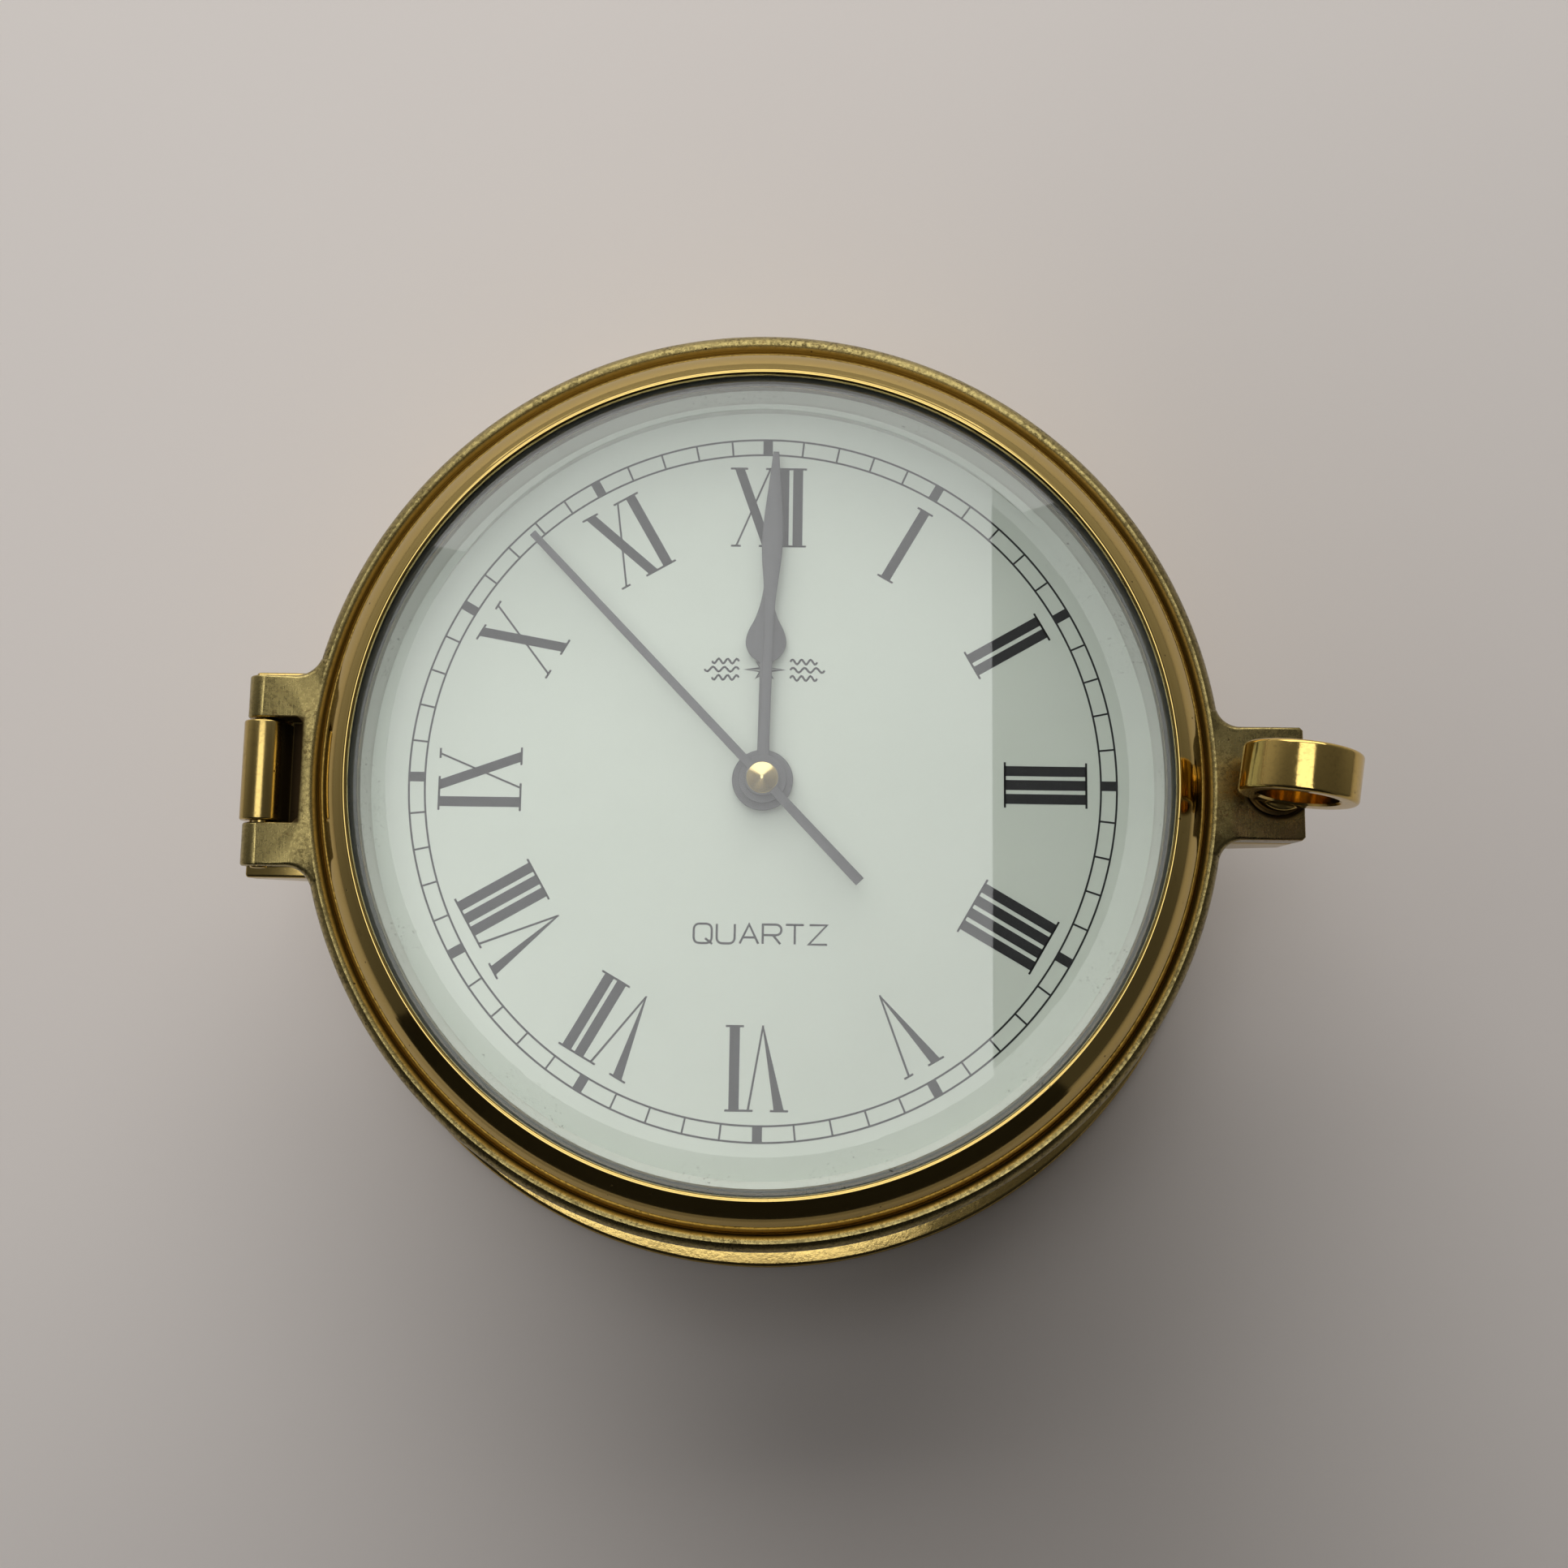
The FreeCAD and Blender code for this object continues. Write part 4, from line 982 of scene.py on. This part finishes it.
def numerals():
    """The twelve hours in Roman numerals, with their feet towards the middle."""
    shapes = []
    for hour, letters in enumerate(NUMERALS):
        shapes += [turned_plan(plan, 30 * hour) for plan in numeral_strokes(letters)]
    printed("hour_numerals", shapes)


def minute_track():
    """Two fine circles, a line at each minute and a block at each fifth."""
    inner, middle, outer = 52.31, 53.54, 54.77
    line = 0.3
    steps = 288
    lift = INK_LOW + 0.019
    angles = [math.tau * step / steps for step in range(steps)]
    shapes = []
    for radius in (inner, outer):
        shapes += ribbon([(radius * math.cos(a), radius * math.sin(a)) for a in angles], line, True)
    printed("minute_circles", shapes)
    for name, count, size in (("minute_lines", 60, (line, 2.2, 0.036)),
                              ("five_minute_blocks", 12, (1.5, 2.3, 0.038))):
        holder = in_scene(name, bpy.data.meshes.new(name))
        grown(holder, MARKS, Count=count, Middle_Radius=middle * MM, Mark_Size=[s * MM for s in size],
              Lift=(0.0, 0.0, lift * MM), Finish=FINISHES["dial_ink"])
        finished(holder, "dial_ink", "case", slot="dial_white")


def rounded_box(w, h, c):
    """The closed line of a box of this width and height with round corners, from its foot round."""
    return outline((c, 0), (w - c, 0), (w, c, c, -1, 5), (w, h - c), (w - c, h, c, -1, 5), (c, h),
                   (0, h - c, c, -1, 5), (0, c), (c, 0, c, -1, 5))[:-1]


def word_below():
    """The plain word for the movement type, in thin wide capitals."""
    w, h, c = 2.75, 2.95, 0.85  # width, height and corner of a letter
    stroke = 0.34
    pitch = 3.52
    foot = -25.0
    letters = [
        [(rounded_box(w, h, c), True), ([(1.75, 0.75), (2.85, -0.12)], False)],
        [(outline((0, h), (0, c), (c, 0, c, -1, 5), (w - c, 0), (w, c, c, -1, 5), (w, h)), False)],
        [([(0, 0), (w / 2 + 0.05, h), (w + 0.1, 0)], False), ([(0.5, 0.95), (w - 0.4, 0.95)], False)],
        [(outline((0, 0), (0, h), (w - 0.7, h), (w - 0.7, 1.35, 0.8, 1, 8), (0, 1.35)), False),
         ([(w - 1.2, 1.35), (w - 0.05, 0)], False)],
        [([(0, h), (w, h)], False), ([(w / 2, h), (w / 2, 0)], False)],
        [([(0.1, h), (w, h), (0, 0), (w + 0.05, 0)], False)],
    ]
    left = -(pitch * (len(letters) - 1) + w) / 2
    shapes = []
    for index, letter in enumerate(letters):
        for line, closed in letter:
            placed = [(left + pitch * index + x, y + foot) for x, y in line]
            shapes += ribbon(placed, stroke, closed)
    printed("movement_word", shapes)


def compass_emblem():
    """A plain eight-point compass star between wavy lines."""
    height = 17.6
    waist = 0.75
    rays = 8
    shapes = []
    for index in range(rays):
        reach = 3.1 if index % 2 == 0 else 1.9
        a = math.tau * index / rays
        half = math.pi / rays
        left, tip, right = [(r * math.sin(b), height + r * math.cos(b))
                            for r, b in ((waist, a + half), (reach, a), (waist, a - half))]
        shapes.append([(0.0, height), tip, left])
        shapes += ribbon([left, tip, right], 0.22)
    steps = 20
    for side in (-1, 1):
        for row in (-1.3, 0.0, 1.3):
            length = 5.4 - abs(row) * 0.9
            wave = [(side * (4.0 + length * t / steps), height + row + 0.38 * math.sin(t * 0.94))
                    for t in range(steps + 1)]
            shapes += ribbon(wave, 0.32)
    printed("compass_emblem", shapes)


# ---- hands

def hand(name, node, plan, hub, bore, low, degrees):
    """A stamped hand: a flat blade on a round hub. Its body has the name of its node."""
    inset = 0.012
    edge = 0.06
    high = low + HAND_THICK
    blade = plate("blade", plan, low + inset, high - inset, edge)
    disc = turned("hub", [(bore, low), (hub - edge, low), (hub, low + edge), (hub, high - edge),
                          (hub - edge, high), (bore, high)], "hand_black", 96)
    whole = joined(name, blade, disc)
    moved(whole, Matrix.Rotation(math.radians(degrees), 4, "Z"))
    finished(whole, "hand_black", node, node)


def hands():
    """The three hands as they stand at rest, and the cap on the seconds hand."""
    spade = smooth_line([(0.95, 3.3), (0.9, 10.0), (0.88, 17.6), (1.15, 18.5), (2.2, 19.3), (2.95, 20.5),
                         (3.15, 21.8), (2.75, 23.4), (1.75, 25.4), (0.95, 28.0), (0.5, 30.6), (0.15, 33.0)])
    hand("hour_hand_spade", "hour_hand", mirrored(spade), hub=4.7, bore=3.0, low=49.6, degrees=-0.5)
    leaf = smooth_line([(0.85, 2.5), (0.78, 14.0), (0.76, 25.0), (1.0, 29.5), (1.5, 34.5), (1.62, 37.6),
                        (1.4, 41.5), (0.9, 46.8), (0.45, 51.8)])
    hand("minute_hand_leaf", "minute_hand", mirrored(leaf), hub=3.7, bore=2.2, low=51.0, degrees=-1.5)
    needle = [(0.80, -21.6), (0.70, -1.6), (0.68, 1.6), (0.62, 28.0), (0.55, 52.3)]
    hand("seconds_hand_needle", "seconds_hand", mirrored(needle), hub=2.7, bore=0.0, low=52.5,
         degrees=43.8)
    cap = turned("turned_cap", outline(
        (0.0, 52.8), (2.4, 52.8), (2.4, 53.25), (2.25, 53.42, 0.2, -1, 4), (0.35, 54.26),
        (0.0, 54.3, 1.2, -1, 4)), "cap_brass", 128)
    finished(cap, "cap_brass", "seconds_hand", "seconds_hand_cap", slot="screw_brass", crease=20)


# ---- CAD nodes that stay

KEPT = {
    "plate_brass": ["case_back_plate"],
    "ring_painted_shade": ["glass_retaining_ring"],
    "gasket": ["glass_gasket"],
    "bracket_brass": ["dial_feet", "centre_bushing", "movement_fixing_nut", "hour_hand_collet",
                      "minute_hand_collet", "seconds_hand_collet"],
    "screw_steel": ["back_plate_screws", "carrier_screws"],
    "spring_steel": ["battery_contact_positive", "battery_contact_negative", "quartz_crystal", "stator"],
    "rubber": ["case_seal_ring", "movement_cushion"],
    "plate_aluminium": ["movement_carrier_plate"],
    "black_plastic": ["movement_housing", "movement_cover", "battery_door", "setting_knob"],
    "white_plastic": ["train_plate", "hour_wheel", "centre_wheel", "seconds_wheel", "motion_work_wheel",
                      "third_wheel", "intermediate_wheel"],
    "battery_skin": ["battery"],
    "board_green": ["circuit_board"],
    "coil_copper": ["drive_coil"],
    "magnet": ["rotor"],
}


def paint_kept_nodes():
    """Gives its finish to each CAD node that no piece stands in for."""
    for finish, nodes in KEPT.items():
        for node in nodes:
            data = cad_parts[node].data
            data.materials.clear()
            data.materials.append(FINISHES[finish])


# ---- table, light and camera

def light_panel(name, centre, aim, width, height, radiance, colour=(1.0, 1.0, 1.0)):
    """A soft light, given how bright its face looks."""
    data = bpy.data.lights.new(name, "AREA")
    data.shape = "RECTANGLE"
    data.size = width
    data.size_y = height
    data.energy = radiance * math.pi * width * height
    data.color = colour
    lamp = in_scene(name, data)
    lamp.location = centre
    way = Vector(aim) - Vector(centre)
    lamp.rotation_euler = way.to_track_quat("-Z", "Y").to_euler()
    lamp.visible_camera = False


def sheet_of(name, corners, faces, finish):
    """A sheet of the studio: the table, or a dark cloth near it. In metres."""
    data = bpy.data.meshes.new(name)
    data.from_pydata(corners, [], faces)
    data.materials.append(finish)
    obj = in_scene(name, data)
    return obj


def room():
    """Soft surroundings: brighter low down beyond the numeral XII, dark straight above."""
    f = Finish("room", bpy.data.worlds, "Generated")
    x, y, z = f.axes()
    side = (y * 0.95 - x * 0.12).between(-0.5, 0.95)
    low = z.between(0.75, 0.05)
    base = f.tint(side * (0.25 + 0.75 * low), (0.075, 0.073, 0.070), (0.46, 0.445, 0.425))
    shade = f.node("Background", None, {"Color": base, "Strength": 1.0})
    end = f.tree.nodes.new("ShaderNodeOutputWorld")
    f.tree.links.new(shade.socket, end.inputs["Surface"])
    bpy.context.scene.world = f.material


def dark_cloths():
    """A dark screen in an arc beyond the numeral VI, and a card that shades the clock from above."""
    cloth = moulded("dark_cloth", (0.010, 0.010, 0.010), 0.9, 0.3, 0.1)
    middle, spread, count = -96, 54, 12
    radius, lean = 0.24, 1.1
    foot, head = 0.035, 0.42
    points = []
    for step in range(count + 1):
        a = math.radians(middle + spread * (step / (count / 2) - 1))
        points.append((radius * math.cos(a), radius * math.sin(a)))
    corners = [(x, y, foot) for x, y in points] + [(lean * x, lean * y, head) for x, y in points]
    strips = [(i, i + 1, i + count + 2, i + count + 1) for i in range(count)]
    screen = sheet_of("dark_screen", corners, strips, cloth)
    screen.visible_camera = False
    corners = [(-0.12, -0.26, 0.30), (0.09, -0.26, 0.30), (0.11, 0.05, 0.30), (-0.02, 0.0, 0.30)]
    card = sheet_of("shade_card", corners, [(0, 1, 2, 3)], cloth)
    card.visible_camera = False
    card.visible_glossy = False
    card.visible_transmission = False


def studio():
    """The table, the dark cloths, two soft lights and the room."""
    half = 2
    corners = [(-half, -half, 0), (half, -half, 0), (half, half, 0), (-half, half, 0)]
    sheet_of("table", corners, [(0, 1, 2, 3)], table_top())
    dark_cloths()
    light_panel("overhead_light", centre=(-0.116, 0.0, 1.2), aim=(-0.116, 0.0, 0.0),
                width=0.608, height=1.10, radiance=2.1)
    light_panel("north_light", centre=(-0.12, 1.20, 0.78), aim=(-0.02, 0.0, 0.05),
                width=1.9, height=1.1, radiance=2.1, colour=(1.0, 0.985, 0.965))
    room()
    bpy.context.scene.view_settings.view_transform = "Standard"


def camera():
    """The camera close above the clock, by its place, its way of looking and its right hand."""
    place = (4.28, -29.5, 281.5)
    forward = Vector((-0.0042, 0.1248, -0.9922)).normalized()
    right = Vector((0.9999, 0.0145, -0.0024))
    right = (right - forward * right.dot(forward)).normalized()
    up = right.cross(forward)
    data = bpy.data.cameras.new("camera")
    data.lens = 34.66
    data.sensor_width = 36.0
    data.clip_start = 0.01
    data.clip_end = 20.0
    eye = in_scene("camera", data)
    turn = Matrix((right, up, -forward)).transposed()
    eye.matrix_world = shift(*place) @ turn.to_4x4()
    bpy.context.scene.camera = eye


paint_kept_nodes()
bezel()
glass()
case()
hinge()
clasp_seat()
ring_screw()
dial()
numerals()
minute_track()
word_below()
compass_emblem()
hands()
studio()
camera()
